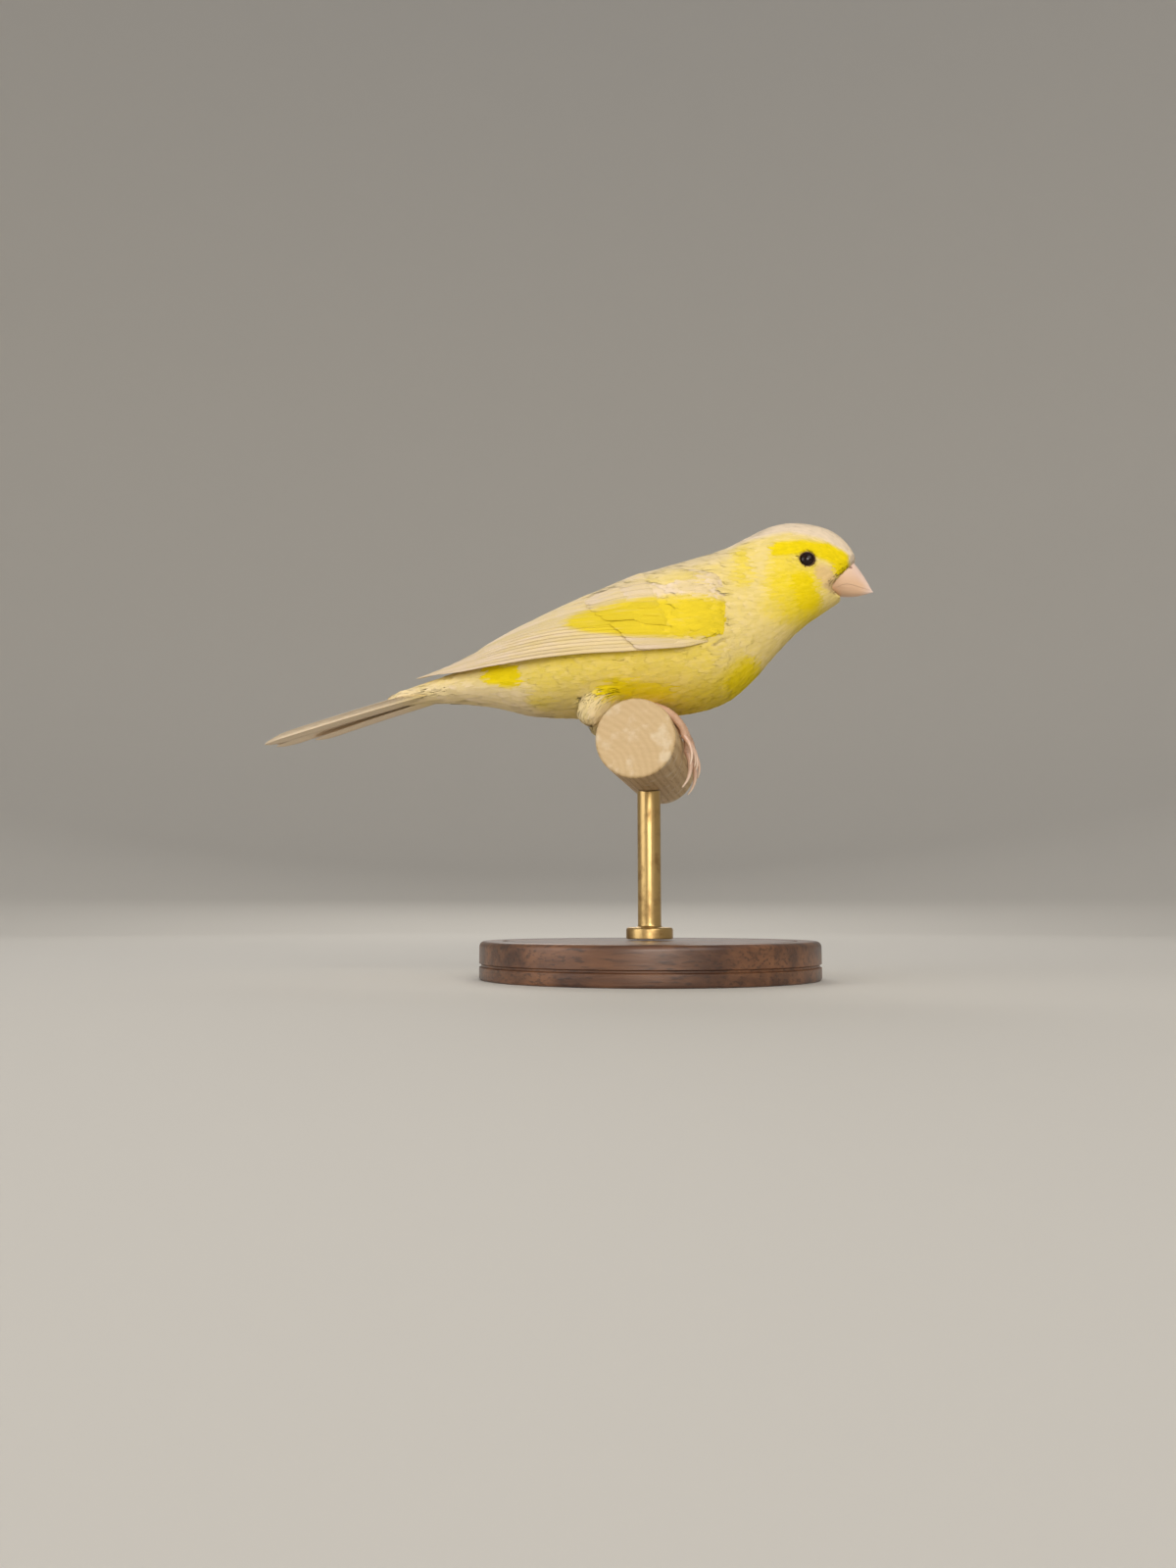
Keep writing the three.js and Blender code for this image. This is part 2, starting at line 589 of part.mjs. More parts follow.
// Dowel and stand
function turned(profile, sides, matrix) {
  const outline = profile.map(([r, h]) => new THREE.Vector2(r, h));
  return fromGeometry(new THREE.LatheGeometry(outline, sides), matrix);
}

function dowel() {
  const { radius, front, back, bevel, sides, height } = PERCH;
  const profile = [
    [0, front], [radius - bevel, front], [radius, front + bevel],
    [radius, back - bevel], [radius - bevel, back], [0, back],
  ];
  return turned(profile, sides, new THREE.Matrix4().makeTranslation(0, 0, height));
}

function baseSolid() {
  const { radius, height, bevel, footBevel, sides } = BASE;
  const profile = [
    [0, 0], [radius - footBevel, 0], [radius, footBevel],
    [radius, height - bevel], [radius - bevel, height], [0, height],
  ];
  return turned(profile, sides, new THREE.Matrix4().makeRotationX(Math.PI / 2));
}

function rodSolid() {
  const { radius, collarRadius, collarHeight, collarBevel, y, sides } = ROD;
  const foot = BASE.height + GAP;
  const shoulder = foot + collarHeight;
  const profile = [
    [0, foot], [collarRadius, foot], [collarRadius, shoulder - collarBevel],
    [collarRadius - collarBevel, shoulder], [radius, shoulder],
    [radius, PERCH.height], [0, PERCH.height],
  ];
  const stand = new THREE.Matrix4().makeRotationX(Math.PI / 2);
  stand.premultiply(new THREE.Matrix4().makeTranslation(0, y, 0));
  return largest(turned(profile, sides, stand).subtract(perchClear));
}

// Colours and the named meshes
const paint = (color, roughness, metalness = 0) =>
  new THREE.MeshStandardMaterial({ color, roughness, metalness });
const FINISH = {
  yellow: paint(0xe9cf3a, 0.85),
  cream: paint(0xefe3c4, 0.85),
  pale: paint(0xf3ecd9, 0.8),
  horn: paint(0xe3bfa6, 0.4),
  skin: paint(0xd9aa90, 0.6),
  eye: paint(0x150a08, 0.05),
  wood: paint(0xc9a26b, 0.75),
  base: paint(0x5b3a22, 0.45),
  brass: paint(0xb99a5a, 0.35, 0.9),
};

const group = new THREE.Group();

function add(name, made, material) {
  const mesh = made.getMesh();
  const geometry = new THREE.BufferGeometry();
  geometry.setAttribute("position", new THREE.BufferAttribute(mesh.vertProperties, 3));
  geometry.setIndex(new THREE.BufferAttribute(mesh.triVerts, 1));
  const part = new THREE.Mesh(geometry, material);
  part.name = name;
  group.add(part);
}

add("head", head, FINISH.yellow);
add("neck", neck, FINISH.cream);
add("torso", torsoBlank, FINISH.cream);
add("tail", tail, FINISH.pale);
add("bill_upper", billUpper, FINISH.horn);
add("bill_lower", billLower, FINISH.horn);
add("eye_left", ball(EYE.x, EYE.y, EYE.z, EYE.radius), FINISH.eye);
add("eye_right", ball(EYE.x, -EYE.y, EYE.z, EYE.radius), FINISH.eye);
add("wing_left", wingLeft, FINISH.pale);
add("wing_right", wingRight, FINISH.pale);
add("thigh_left", thighLeft, FINISH.pale);
add("thigh_right", thighRight, FINISH.pale);
add("foot_left", footLeft, FINISH.skin);
add("foot_right", footRight, FINISH.skin);
add("perch", dowel(), FINISH.wood);
add("stand_rod", rodSolid(), FINISH.brass);
add("stand_base", baseSolid(), FINISH.base);

export default group;
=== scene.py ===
import math

import bpy
import numpy as np
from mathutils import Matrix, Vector
from mathutils.bvhtree import BVHTree


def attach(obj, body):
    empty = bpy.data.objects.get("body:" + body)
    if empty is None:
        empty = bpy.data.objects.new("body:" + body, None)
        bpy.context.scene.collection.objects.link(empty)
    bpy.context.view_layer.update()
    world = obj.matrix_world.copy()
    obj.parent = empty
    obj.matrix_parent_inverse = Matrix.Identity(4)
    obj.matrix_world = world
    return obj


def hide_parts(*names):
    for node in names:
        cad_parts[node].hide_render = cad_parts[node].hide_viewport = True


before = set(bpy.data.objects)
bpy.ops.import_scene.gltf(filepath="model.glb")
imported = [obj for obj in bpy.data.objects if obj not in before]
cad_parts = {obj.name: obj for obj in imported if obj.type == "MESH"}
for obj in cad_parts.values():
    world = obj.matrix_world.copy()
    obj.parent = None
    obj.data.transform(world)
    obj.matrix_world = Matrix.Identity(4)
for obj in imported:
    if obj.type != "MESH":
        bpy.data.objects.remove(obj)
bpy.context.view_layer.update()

# Every size and place below is in millimetres in the frame's own axes: the bird faces +X, the dowel
# runs along Y, and +Z is up. Meshes are turned into metres as they are made.
MM = 0.001

# Camera
# Stands off the bird's right side, low, and looks slightly up at it. The image is taken as 1200 by
# 1600 pixels, with the focal length that the dowel's vanishing point gives.
CAMERA_PLACE = Vector((26.72, -251.88, 13.17)) * MM
CAMERA_WAY = Vector((-0.1555, 0.9815, 0.1115))
FOCAL_PIXELS = 1202
IMAGE_HEIGHT = 1600
camera_data = bpy.data.cameras.new("camera")
camera_data.sensor_width = 36
camera_data.lens = camera_data.sensor_width * FOCAL_PIXELS / IMAGE_HEIGHT
camera_data.clip_start = 0.01
camera = bpy.data.objects.new("camera", camera_data)
camera.location = CAMERA_PLACE
camera.rotation_euler = CAMERA_WAY.to_track_quat("-Z", "Y").to_euler()
bpy.context.scene.collection.objects.link(camera)
bpy.context.scene.camera = camera

# Skin
# The skin of the whole bird from the seat of the bill to the end of the tail's root, with its two
# thighs, in one closed surface. It lies inside the plumage by the depth of the coat.
BODY = {
    "x": [45, 44.3, 43.1, 41, 38, 34, 30, 26, 22, 17, 10, 0, -10, -18, -26, -34, -42, -50, -58],
    "top": [88.6, 90.7, 92.7, 94.9, 96.5, 97.5, 97.7, 96.7, 94.8, 92.3, 90.2, 87.4, 83, 78.6, 74.2, 70.4,
            67.4, 64.9, 62.4],
    "mid": [87, 86.8, 86.6, 86.3, 85.6, 84.6, 83, 80.2, 76.6, 73.2, 72, 70.8, 69.4, 68, 66.6, 65.3,
            64, 62.8, 61.2],
    "bottom": [85.2, 83, 81.2, 79.9, 78, 75.4, 71.9, 67.6, 63.2, 59.2, 57, 56.4, 56.4, 56.6, 57.2, 59.3,
               60.3, 60.6, 60],
    "half": [1.5, 2.8, 4, 5.3, 6.9, 8.3, 9.1, 10, 11.5, 13.8, 15.9, 16.8, 16.2, 14.2, 11.3, 8.2, 5.9,
             4.4, 2.9],
}
SECTION_ROUND = 0.95  # under 1 makes a section fuller than an ellipse
COAT = {"x": [46, 40, 34, 26, 14, 0, -60], "depth": [0.3, 0.42, 0.55, 0.75, 0.95, 1.05, 0.9]}
BODY_RUN = {"front": 45.2, "length": 103.4, "crowded": 1.3, "rings": 150, "around": 84}
FACE_EDGE = {"z": [80.9, 82.2, 88.9, 89.3], "x": [42.7, 39, 45.4, 50], "skin_behind": 0.35}
OPEN_FACE = 60  # past the bill: above and below it nothing holds the feathers back
EYE = {"x": 34.5, "y": 6.15, "z": 87.5, "radius": 2.05, "opening": 1.42, "side_from": 3}
SOCKET = {"deep": 1.1, "rim": 1.95, "floor": 1.4}
THIGH = {
    "x": -9.6, "y": 7.9, "z": 59.2, "length": 16, "half": 5, "lean": 30, "coat": 0.6, "rings": 18,
    "around": 28,
}
MELT = {"voxel": 0.5, "smoothing": 0.5, "rounds": 12}
rng = np.random.default_rng(20)


def smooth(value, low, high):
    """0 below low and 1 above high, with a smooth turn between. High may be the smaller."""
    t = np.clip((value - low) / (high - low), 0, 1)
    return t * t * (3 - 2 * t)


def curve(stations, key):
    """A smooth curve through stations that are listed from high x to low x."""
    xs = np.array(stations["x"], float)
    ys = np.array(stations[key], float)
    before = np.maximum(np.arange(len(xs)) - 1, 0)
    after = np.minimum(np.arange(len(xs)) + 1, len(xs) - 1)
    slope = (ys[after] - ys[before]) / (xs[after] - xs[before])

    def at(x):
        x = np.asarray(x, float)
        i = np.clip(np.searchsorted(-xs, -x, side="right") - 1, 0, len(xs) - 2)
        h = xs[i + 1] - xs[i]
        t = np.clip((x - xs[i]) / h, 0, 1)
        rise = t * t * (3 - 2 * t)
        lead = t * (1 - t) ** 2 * h * slope[i]
        trail = t * t * (t - 1) * h * slope[i + 1]
        return ys[i] + (ys[i + 1] - ys[i]) * rise + lead + trail

    return at


def full(value):
    """A cosine or sine pulled out towards a fuller section."""
    return np.sign(value) * np.abs(value) ** SECTION_ROUND


body = {key: curve(BODY, key) for key in ("top", "mid", "bottom", "half")}
coat_depth = curve(COAT, "depth")


def all_round(count):
    """Angles evenly spaced round a circle."""
    return np.linspace(0, 2 * np.pi, count, endpoint=False)


def xyz(x, y, z):
    """Places from their three measures, each an array or one number for all."""
    return np.stack(np.broadcast_arrays(x, y, z), axis=-1)


def body_point(x, angle, grow):
    """A point on the body's section at x. Angle 0 is the left side and a quarter turn the back."""
    c = full(np.cos(angle))
    s = full(np.sin(angle))
    rise = np.where(s > 0, body["top"](x) - body["mid"](x), body["mid"](x) - body["bottom"](x))
    y = (body["half"](x) + grow) * c
    z = body["mid"](x) + (rise + grow) * s
    return xyz(x, y, z)


def quads_of(rings, around, closed=True):
    """Faces of a grid of rings, each with the same count of points."""
    i, j = np.meshgrid(np.arange(rings - 1), np.arange(around if closed else around - 1), indexing="ij")
    k = (j + 1) % around
    a = i * around
    return np.stack([a + j, a + k, a + around + k, a + around + j], axis=-1).reshape(-1, 4)


def capped(grid, ends=None):
    """Closes a grid of rings with a fan at each end, about the ring's middle or a given point."""
    rings, around = grid.shape[:2]
    count = rings * around
    faces = quads_of(rings, around).tolist()
    for j in range(around):
        k = (j + 1) % around
        faces += [[count, k, j], [count + 1, count - around + j, count - around + k]]
    if ends is None:
        ends = [grid[0].mean(axis=0), grid[-1].mean(axis=0)]
    return np.vstack([grid.reshape(-1, 3), ends]), faces


def new_piece(name, points, faces):
    """A smooth-shaded mesh from points in millimetres and faces, which are an array or lists."""
    mesh = bpy.data.meshes.new(name)
    if isinstance(faces, np.ndarray):
        count, corners = faces.shape
        mesh.vertices.add(len(points))
        mesh.vertices.foreach_set("co", (np.asarray(points) * MM).astype(np.float32).ravel())
        mesh.loops.add(count * corners)
        mesh.loops.foreach_set("vertex_index", faces.astype(np.int32).ravel())
        mesh.polygons.add(count)
        mesh.polygons.foreach_set("loop_start", np.arange(0, count * corners, corners, dtype=np.int32))
        mesh.update(calc_edges=True)
    else:
        mesh.from_pydata((np.asarray(points) * MM).tolist(), [], faces)
    mesh.shade_smooth()
    mesh.validate()
    made = bpy.data.objects.new(name, mesh)
    bpy.context.scene.collection.objects.link(made)
    return made


def mesh_points(made):
    """A piece's points in millimetres."""
    points = np.empty(3 * len(made.data.vertices), np.float32)
    made.data.vertices.foreach_get("co", points)
    return points.reshape(-1, 3) / MM


def tag(made, **layers):
    """Stores numbers at the points of a piece, for its material to read."""
    for name, values in layers.items():
        layer = made.data.attributes.new(name, "FLOAT", "POINT")
        layer.data.foreach_set("value", np.full(len(made.data.vertices), values, np.float32))


def face_edge(z):
    """How far forward the feathers reach at each level."""
    return np.interp(z, FACE_EDGE["z"], FACE_EDGE["x"], left=OPEN_FACE, right=OPEN_FACE)


def body_loft():
    """The body's closed surface, inside the plumage by the depth of the coat."""
    share = np.linspace(0, 1, BODY_RUN["rings"]) ** BODY_RUN["crowded"]
    xs = BODY_RUN["front"] - BODY_RUN["length"] * share
    angles = all_round(BODY_RUN["around"])
    x, a = np.meshgrid(xs, angles, indexing="ij")
    points = body_point(x, a, -coat_depth(x))
    points[..., 0] = np.minimum(points[..., 0], face_edge(points[..., 2]) - FACE_EDGE["skin_behind"])
    return capped(points)


def thigh_loft(side):
    """The flesh of a thigh, an egg that leans back out of the belly and tapers to the heel."""
    t = np.linspace(0.02, 0.84, THIGH["rings"])[:, None]
    a = all_round(THIGH["around"])[None, :]
    egg = np.sin(np.pi * (0.08 + 0.86 * t ** 0.7)) ** 0.55 * (1 - 0.45 * t)
    r = THIGH["half"] * egg - THIGH["coat"]
    lean = math.radians(THIGH["lean"])
    along = (0.5 - t) * THIGH["length"]
    across = r * np.cos(a)
    x = THIGH["x"] + across * math.cos(lean) + along * math.sin(lean)
    z = THIGH["z"] - across * math.sin(lean) + along * math.cos(lean)
    y = side * THIGH["y"] + r * np.sin(a)
    return capped(xyz(x, y, z))


def joined(parts):
    """Several sets of points and faces as one."""
    points, faces, start = [], [], 0
    for p, f in parts:
        points.append(p)
        faces += [[start + i for i in face] for face in f]
        start += len(p)
    return np.vstack(points), faces


def melted(made):
    """Melts a piece's overlapping closed surfaces into one, and smooths it."""
    melt = made.modifiers.new("melt", "REMESH")
    melt.mode = "VOXEL"
    melt.voxel_size = MELT["voxel"] * MM
    relax = made.modifiers.new("relax", "SMOOTH")
    relax.factor = MELT["smoothing"]
    relax.iterations = MELT["rounds"]
    shown = made.evaluated_get(bpy.context.evaluated_depsgraph_get())
    mesh = bpy.data.meshes.new_from_object(shown)
    made.modifiers.clear()
    old = made.data
    made.data = mesh
    bpy.data.meshes.remove(old)
    mesh.shade_smooth()
    return made


def from_eye(points):
    """How far each place lies from the eye's middle in the side view."""
    return np.hypot(points[:, 0] - EYE["x"], points[:, 2] - EYE["z"])


def at_side(points):
    """Which places lie on a side of the head and not across its middle."""
    return np.abs(points[:, 1]) > EYE["side_from"]


skin = melted(new_piece("skin", *joined([body_loft(), thigh_loft(1), thigh_loft(-1)])))

# The eye's socket: the skin sinks round the ball, so that only the opening of the lids shows it.
places = mesh_points(skin)
sink = SOCKET["deep"] * smooth(from_eye(places), SOCKET["rim"], SOCKET["floor"]) * at_side(places)
places[:, 1] -= np.sign(places[:, 1]) * sink
skin.data.vertices.foreach_set("co", (places * MM).astype(np.float32).ravel())
skin.data.update()


def line_distance(x, z, corners):
    """How far points of the side view lie from a line through corners."""
    nearest = np.full(np.shape(x), 1e9)
    for (ax, az), (bx, bz) in zip(corners[:-1], corners[1:]):
        dx, dz = bx - ax, bz - az
        run = np.clip(((x - ax) * dx + (z - az) * dz) / (dx ** 2 + dz ** 2), 0, 1)
        nearest = np.minimum(nearest, np.hypot(x - ax - run * dx, z - az - run * dz))
    return nearest


# The markings, each a soft-edged streak in the side view: a line through its middle, how far it
# spreads, how soft its edge is, and how much of the plumage's yellow it lays on.
YELLOW_MARKS = [
    {"line": [(28, 89.8), (33, 90.2), (38, 89.7)], "reach": 1.3, "soft": 1.1, "yellow": 1.0},
    {"line": [(38, 89.6), (41, 88.4), (41.3, 86.3)], "reach": 1.6, "soft": 1.1, "yellow": 1.0},
    {"line": [(32.8, 82.2), (33.8, 79.2)], "reach": 1.8, "soft": 2.6, "yellow": 0.95},
    {"line": [(29.5, 81.8), (31.5, 78.5)], "reach": 2.6, "soft": 3.6, "yellow": 0.7},
    {"line": [(28.5, 86.2), (34.5, 84.6)], "reach": 1.6, "soft": 2.6, "yellow": 0.6},
    {"line": [(27, 77), (36, 76)], "reach": 1.5, "soft": 3.2, "yellow": 0.5},
    {"line": [(20.2, 89), (20.2, 83)], "reach": 0.7, "soft": 2.4, "yellow": 0.55},
    {"line": [(18.5, 61), (21.6, 64)], "reach": 0.9, "soft": 3.2, "yellow": 0.9},
    {"line": [(18.5, 60), (8, 57)], "reach": 1.5, "soft": 4.5, "yellow": 0.62},
    {"line": [(-8, 60), (-5, 60.3)], "reach": 1.1, "soft": 2.2, "yellow": 0.95},
    {"line": [(-5, 60.3), (4, 59.6)], "reach": 0.7, "soft": 2.2, "yellow": 0.8},
    {"line": [(10, 65.5), (-20, 65)], "reach": 3, "soft": 4.5, "yellow": 0.47},
    {"line": [(5, 68), (-18, 66.9)], "reach": 0.7, "soft": 1.6, "yellow": 0.58},
    {"line": [(-28.9, 64), (-33.6, 65.2)], "reach": 1.9, "soft": 0.8, "yellow": 1.0},
    {"line": [(-23.8, 59.2), (-22, 59)], "reach": 0.5, "soft": 2.2, "yellow": 0.45},
]
PLUMAGE_PALE = 0.3  # how yellow the plumage is between the marks
PALE_MARKS = [
    {"line": [(18, 97), (30, 99.4), (40, 97.2), (46.5, 91.5)], "reach": 4.2, "soft": 2.0, "share": 1.0},
    {"line": [(14, 94), (-4, 88.5), (-24, 79)], "reach": 4.5, "soft": 4.0, "share": 0.6},
    {"line": [(-26, 57), (-40, 59.5), (-58, 60)], "reach": 3, "soft": 3, "share": 0.5},
    {"line": [(-12, 54), (-9, 60)], "reach": 2.5, "soft": 2.5, "share": 0.4},
]
LORE = {"line": [(37.6, 84.6), (39.5, 82.4)], "reach": 0.9, "soft": 1.6, "peach": 0.85}
EYE_RING = {"reach": 1.6, "soft": 0.6, "peach": 0.4}


def within(distance, mark):
    """1 within a mark's reach, fading out over its soft edge."""
    return smooth(distance, mark["reach"] + mark["soft"], mark["reach"])


def markings(places):
    """How yellow and how peach the plumage is at each place."""
    x, z = places[:, 0], places[:, 2]
    yellow = np.full(len(places), PLUMAGE_PALE)
    for mark in PALE_MARKS:
        yellow *= 1 - mark["share"] * within(line_distance(x, z, mark["line"]), mark)
    for mark in YELLOW_MARKS:
        distance = line_distance(x, z, mark["line"])
        share = smooth(distance, mark["reach"] + mark["soft"], mark["reach"] - 0.4)
        yellow = np.maximum(yellow, yellow + (mark["yellow"] - yellow) * share)
    lore = within(line_distance(x, z, LORE["line"]), LORE)
    ring = within(from_eye(places), EYE_RING)
    return yellow, np.maximum(EYE_RING["peach"] * ring, LORE["peach"] * lore)


class Wire:
    """A socket of a finish that Python's own arithmetic works on."""

    def __init__(self, finish, socket):
        self.finish = finish
        self.socket = socket

    def maths(self, operation, *values):
        """A Math node on values, or on this socket alone where none are given."""
        values = values or (self,)
        return self.finish.node("ShaderNodeMath", {"operation": operation}, dict(enumerate(values)))

    def __add__(self, other):
        return self.maths("ADD", self, other)

    def __sub__(self, other):
        return self.maths("SUBTRACT", self, other)

    def __rsub__(self, other):
        return self.maths("SUBTRACT", other, self)

    def __mul__(self, other):
        return self.maths("MULTIPLY", self, other)

    def __pow__(self, other):
        return self.maths("POWER", self, other)

    def __abs__(self):
        return self.maths("ABSOLUTE")

    __radd__ = __add__
    __rmul__ = __mul__


class Finish:
    """A material, with constants on its shader's own sockets and one method for every other node."""

    def __init__(self, name, **constants):
        self.material = bpy.data.materials.new(name)
        self.material.use_nodes = True
        self.tree = self.material.node_tree
        self.shader = self.tree.nodes["Principled BSDF"]
        for socket, value in constants.items():
            self.shader.inputs[socket.replace("_", " ")].default_value = value

    def node(self, kind, settings=None, values=None, out=0):
        """Adds a node: its settings first, and then the values or links of its sockets."""
        made = self.tree.nodes.new(kind)
        for key, value in (settings or {}).items():
            setattr(made, key, value)
        for key, value in (values or {}).items():
            self.feed(made.inputs[key], value)
        return Wire(self, made.outputs[out])

    def feed(self, socket, value):
        if isinstance(value, Wire):
            self.tree.links.new(value.socket, socket)
        else:
            socket.default_value = value

    def vary(self, socket, value):
        """What changes over the surface, such as its colour."""
        self.feed(self.shader.inputs[socket], value)

    def place(self):
        """Where a point of the piece is, in metres."""
        return self.node("ShaderNodeTexCoord", out="Object")

    def read(self, name):
        """A number that was stored on the mesh."""
        return self.node("ShaderNodeAttribute", {"attribute_name": name}, out="Fac")

    def turn(self, value, low, high):
        """0 at low and 1 at high, with a smooth turn between."""
        limits = {"Value": value, "From Min": low, "From Max": high}
        return self.node("ShaderNodeMapRange", {"interpolation_type": "SMOOTHSTEP"}, limits)

    def mix(self, factor, a, b, blend="MIX"):
        """Two colours as one."""
        settings = {"data_type": "RGBA", "blend_type": blend}
        return self.node("ShaderNodeMix", settings, {0: factor, 6: a, 7: b}, out=2)

    def noise(self, scale, detail=3, stretch=(1, 1, 1)):
        """Cloudy noise from 0 to 1 with so many features in a metre."""
        stretched = {0: self.place(), 1: stretch}
        place = self.node("ShaderNodeVectorMath", {"operation": "MULTIPLY"}, stretched)
        return self.node("ShaderNodeTexNoise", None, {"Vector": place, "Scale": scale, "Detail": detail})

    def bump(self, height, distance):
        """Raises the surface by height times distance in metres."""
        values = {"Height": height, "Distance": distance, "Strength": 1.0}
        self.vary("Normal", self.node("ShaderNodeBump", None, values))

    def wear(self, made):
        """Puts the finish on a piece."""
        made.data.materials.clear()
        made.data.materials.append(self.material)


def srgb(red, green, blue):
    """A colour as seen, out of 255, in the shader's own linear numbers."""
    shares = [v / 255 for v in (red, green, blue)]
    return (*(v / 12.92 if v <= 0.04 else ((v + 0.055) / 1.055) ** 2.4 for v in shares), 1.0)


CREAM = srgb(238, 217, 188)
YELLOW = srgb(240, 213, 12)
PEACH = srgb(228, 193, 140)
PALE_TURN = 2.2  # over 1 keeps a half-pale feather nearer to yellow


def plumage(name, frost, uneven=0.5, streaks=(1, 1, 1), **constants):
    """Soft feathers in the bird's markings. Their tips are frosted with cream."""
    finish = Finish(name, **constants)
    chance = finish.read("chance")
    along = finish.read("along")
    patchy = finish.noise(900, 2, streaks)
    yellow = finish.read("yellow") * (1 - uneven / 2 + uneven * patchy) - frost * along * along * chance
    pale = 1 - yellow
    warm = finish.mix(pale.maths("MAXIMUM", pale, 0.0) ** PALE_TURN, YELLOW, CREAM)
    warm = finish.mix(finish.read("peach"), warm, PEACH)
    # Each feather's tone differs at random; the skin and wing beds take a fixed low chance, which paints
    # them a little darker as shade in the gaps between feathers.
    shade = 0.93 + 0.1 * chance
    grey = finish.node("ShaderNodeCombineColor", None, {0: shade, 1: shade, 2: shade})
    finish.vary("Base Color", finish.mix(1.0, warm, grey, "MULTIPLY"))
    return finish


skin_finish = plumage("skin", 0.0, Roughness=0.9, Specular_IOR_Level=0.1)
skin_finish.bump(skin_finish.noise(1600, 2, (0.4, 1, 1)), 0.0003)
skin_finish.wear(skin)
yellow, peach = markings(places)
# chance is fixed at 0.3, so the skin is a touch darker than an average feather: painted shade for the
# gaps.
tag(skin, yellow=yellow, peach=peach, along=0, chance=0.3)
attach(skin, "root")
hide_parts("head", "neck", "torso", "thigh_left", "thigh_right")

# Wing beds
# The flesh of each folded wing is a thin plate laid on the body's side. Its edges dip into the body,
# so that the feathers of the breast and the back can run up over them.
WING_BED = {
    "front": 21, "back": -28, "rows": 60, "columns": 30, "depth": 1.6, "outer": -0.9, "dip": 1.3,
    "raised": 0.12, "thinned": 0.7,
}
# Half the width of the folded wing's shell at each x, its widest level and its top, and the angles
# of the wing's lower and upper edges round it.
WING = {
    "x": [21.5, 19.5, 16, 8, 0, -10, -20, -30, -40, -50, -54],
    "half": [11.3, 13.2, 15.2, 17.4, 18.2, 17.6, 15.5, 12, 8, 4.7, 3.7],
    "mid": [73.8, 73.6, 73.1, 72, 71, 69.8, 68.6, 67.2, 66, 64.9, 64.4],
    "top": [90.5, 91.6, 92.2, 90.4, 87.9, 83.5, 79.3, 75.1, 70.1, 66.5, 65.6],
    "low": [4, -8, -13, -16, -17, -17, -17, -14, -8, 8, 12],
    "high": [13, 27, 39, 53, 63, 72, 79, 83, 84, 78, 76],
}
wing = {key: curve(WING, key) for key in ("half", "mid", "top", "low", "high")}

# The yellow of the coverts: the level of its middle, how far it spreads at each x, and how softly it
# ends above, below and behind.
SHOULDER = {
    "level": 73.9, "x": [-17, -11, -7, 0, 8, 21], "spread": [0.1, 2.1, 3.0, 3.9, 4.1, 3.9], "yellow": 1.1,
    "above": (1.4, -1.9), "below": (0.9, -0.7), "behind": (-18, -13),
}
WING_PALE = 0.13
WING_PEACH = 0.1
HANDS = ((1, "left"), (-1, "right"))


def across_wing(x, share):
    """The angle at a share of the wing's breadth at x, from its lower edge up."""
    return wing["low"](x) + (wing["high"](x) - wing["low"](x)) * share


def shell_point(x, angle, lift):
    """A point on the shell that the left wing is folded on, at an angle in degrees round it."""
    c = full(np.cos(np.radians(angle)))
    s = full(np.sin(np.radians(angle)))
    y = (wing["half"](x) + lift) * c
    z = wing["mid"](x) + (wing["top"](x) - wing["mid"](x) + lift) * s
    return xyz(x, y, z)


def wing_markings(places):
    """How yellow and how peach the wing is at each place."""
    spread = np.interp(places[:, 0], SHOULDER["x"], SHOULDER["spread"])
    above = places[:, 2] - SHOULDER["level"]
    soft_above, soft_below = SHOULDER["above"], SHOULDER["below"]
    patch = smooth(above, spread + soft_above[0], spread + soft_above[1])
    patch *= smooth(-above, spread + soft_below[0], spread + soft_below[1])
    patch *= smooth(places[:, 0], *SHOULDER["behind"])
    yellow = WING_PALE + (SHOULDER["yellow"] - WING_PALE) * patch
    return yellow, np.full(len(places), WING_PEACH)


def plate(outer, inner):
    """A closed plate between two grids of points, its outer and its inner face."""
    rows, columns = outer.shape[:2]
    count = rows * columns
    faces = quads_of(rows, columns, closed=False)
    rim = []
    for i in range(rows - 1):
        a, b = i * columns, (i + 1) * columns - 1
        rim.append((count + a, count + a + columns, a + columns, a))
        rim.append((b + columns, count + b + columns, count + b, b))
    for j in range(columns - 1):
        b = (rows - 1) * columns + j
        rim.append((j + 1, count + j + 1, count + j, j))
        rim.append((count + b, count + b + 1, b + 1, b))
    points = np.concatenate([outer.reshape(-1, 3), inner.reshape(-1, 3)])
    return points, np.vstack([faces[:, ::-1], faces + count, rim])


def wing_bed(side):
    """The flesh of the folded wing, a closed plate whose edges dip into the body."""
    x = np.linspace(WING_BED["front"], WING_BED["back"], WING_BED["rows"])[:, None]
    v = np.linspace(0, 1, WING_BED["columns"])[None, :]
    raised = WING_BED["raised"] * smooth(x, -8, -20)
    angle = across_wing(x, raised + (1 - raised) * v)
    level = WING_BED["outer"] - WING_BED["dip"] * (np.abs(2 * v - 1) ** 8 + smooth(x, 15, 21))
    depth = WING_BED["depth"] * (1 - WING_BED["thinned"] * smooth(x, -16, -28))
    outer = shell_point(x, angle, level) * (1, side, 1)
    inner = shell_point(x, angle, level - depth) * (1, side, 1)
    points, faces = plate(outer, inner)
    return points, faces[:, ::side]


beds = {}
for side, hand in HANDS:
    bed = new_piece(f"wing_bed_{hand}", *wing_bed(side))
    yellow, peach = wing_markings(mesh_points(bed))
    # chance is fixed at 0.3, so the wing's flesh is a touch darker than an average feather: painted shade
    # for the gaps.
    tag(bed, yellow=yellow, peach=peach, along=0, chance=0.3)
    skin_finish.wear(bed)
    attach(bed, "root")
    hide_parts(f"wing_{hand}")
    beds[side] = bed

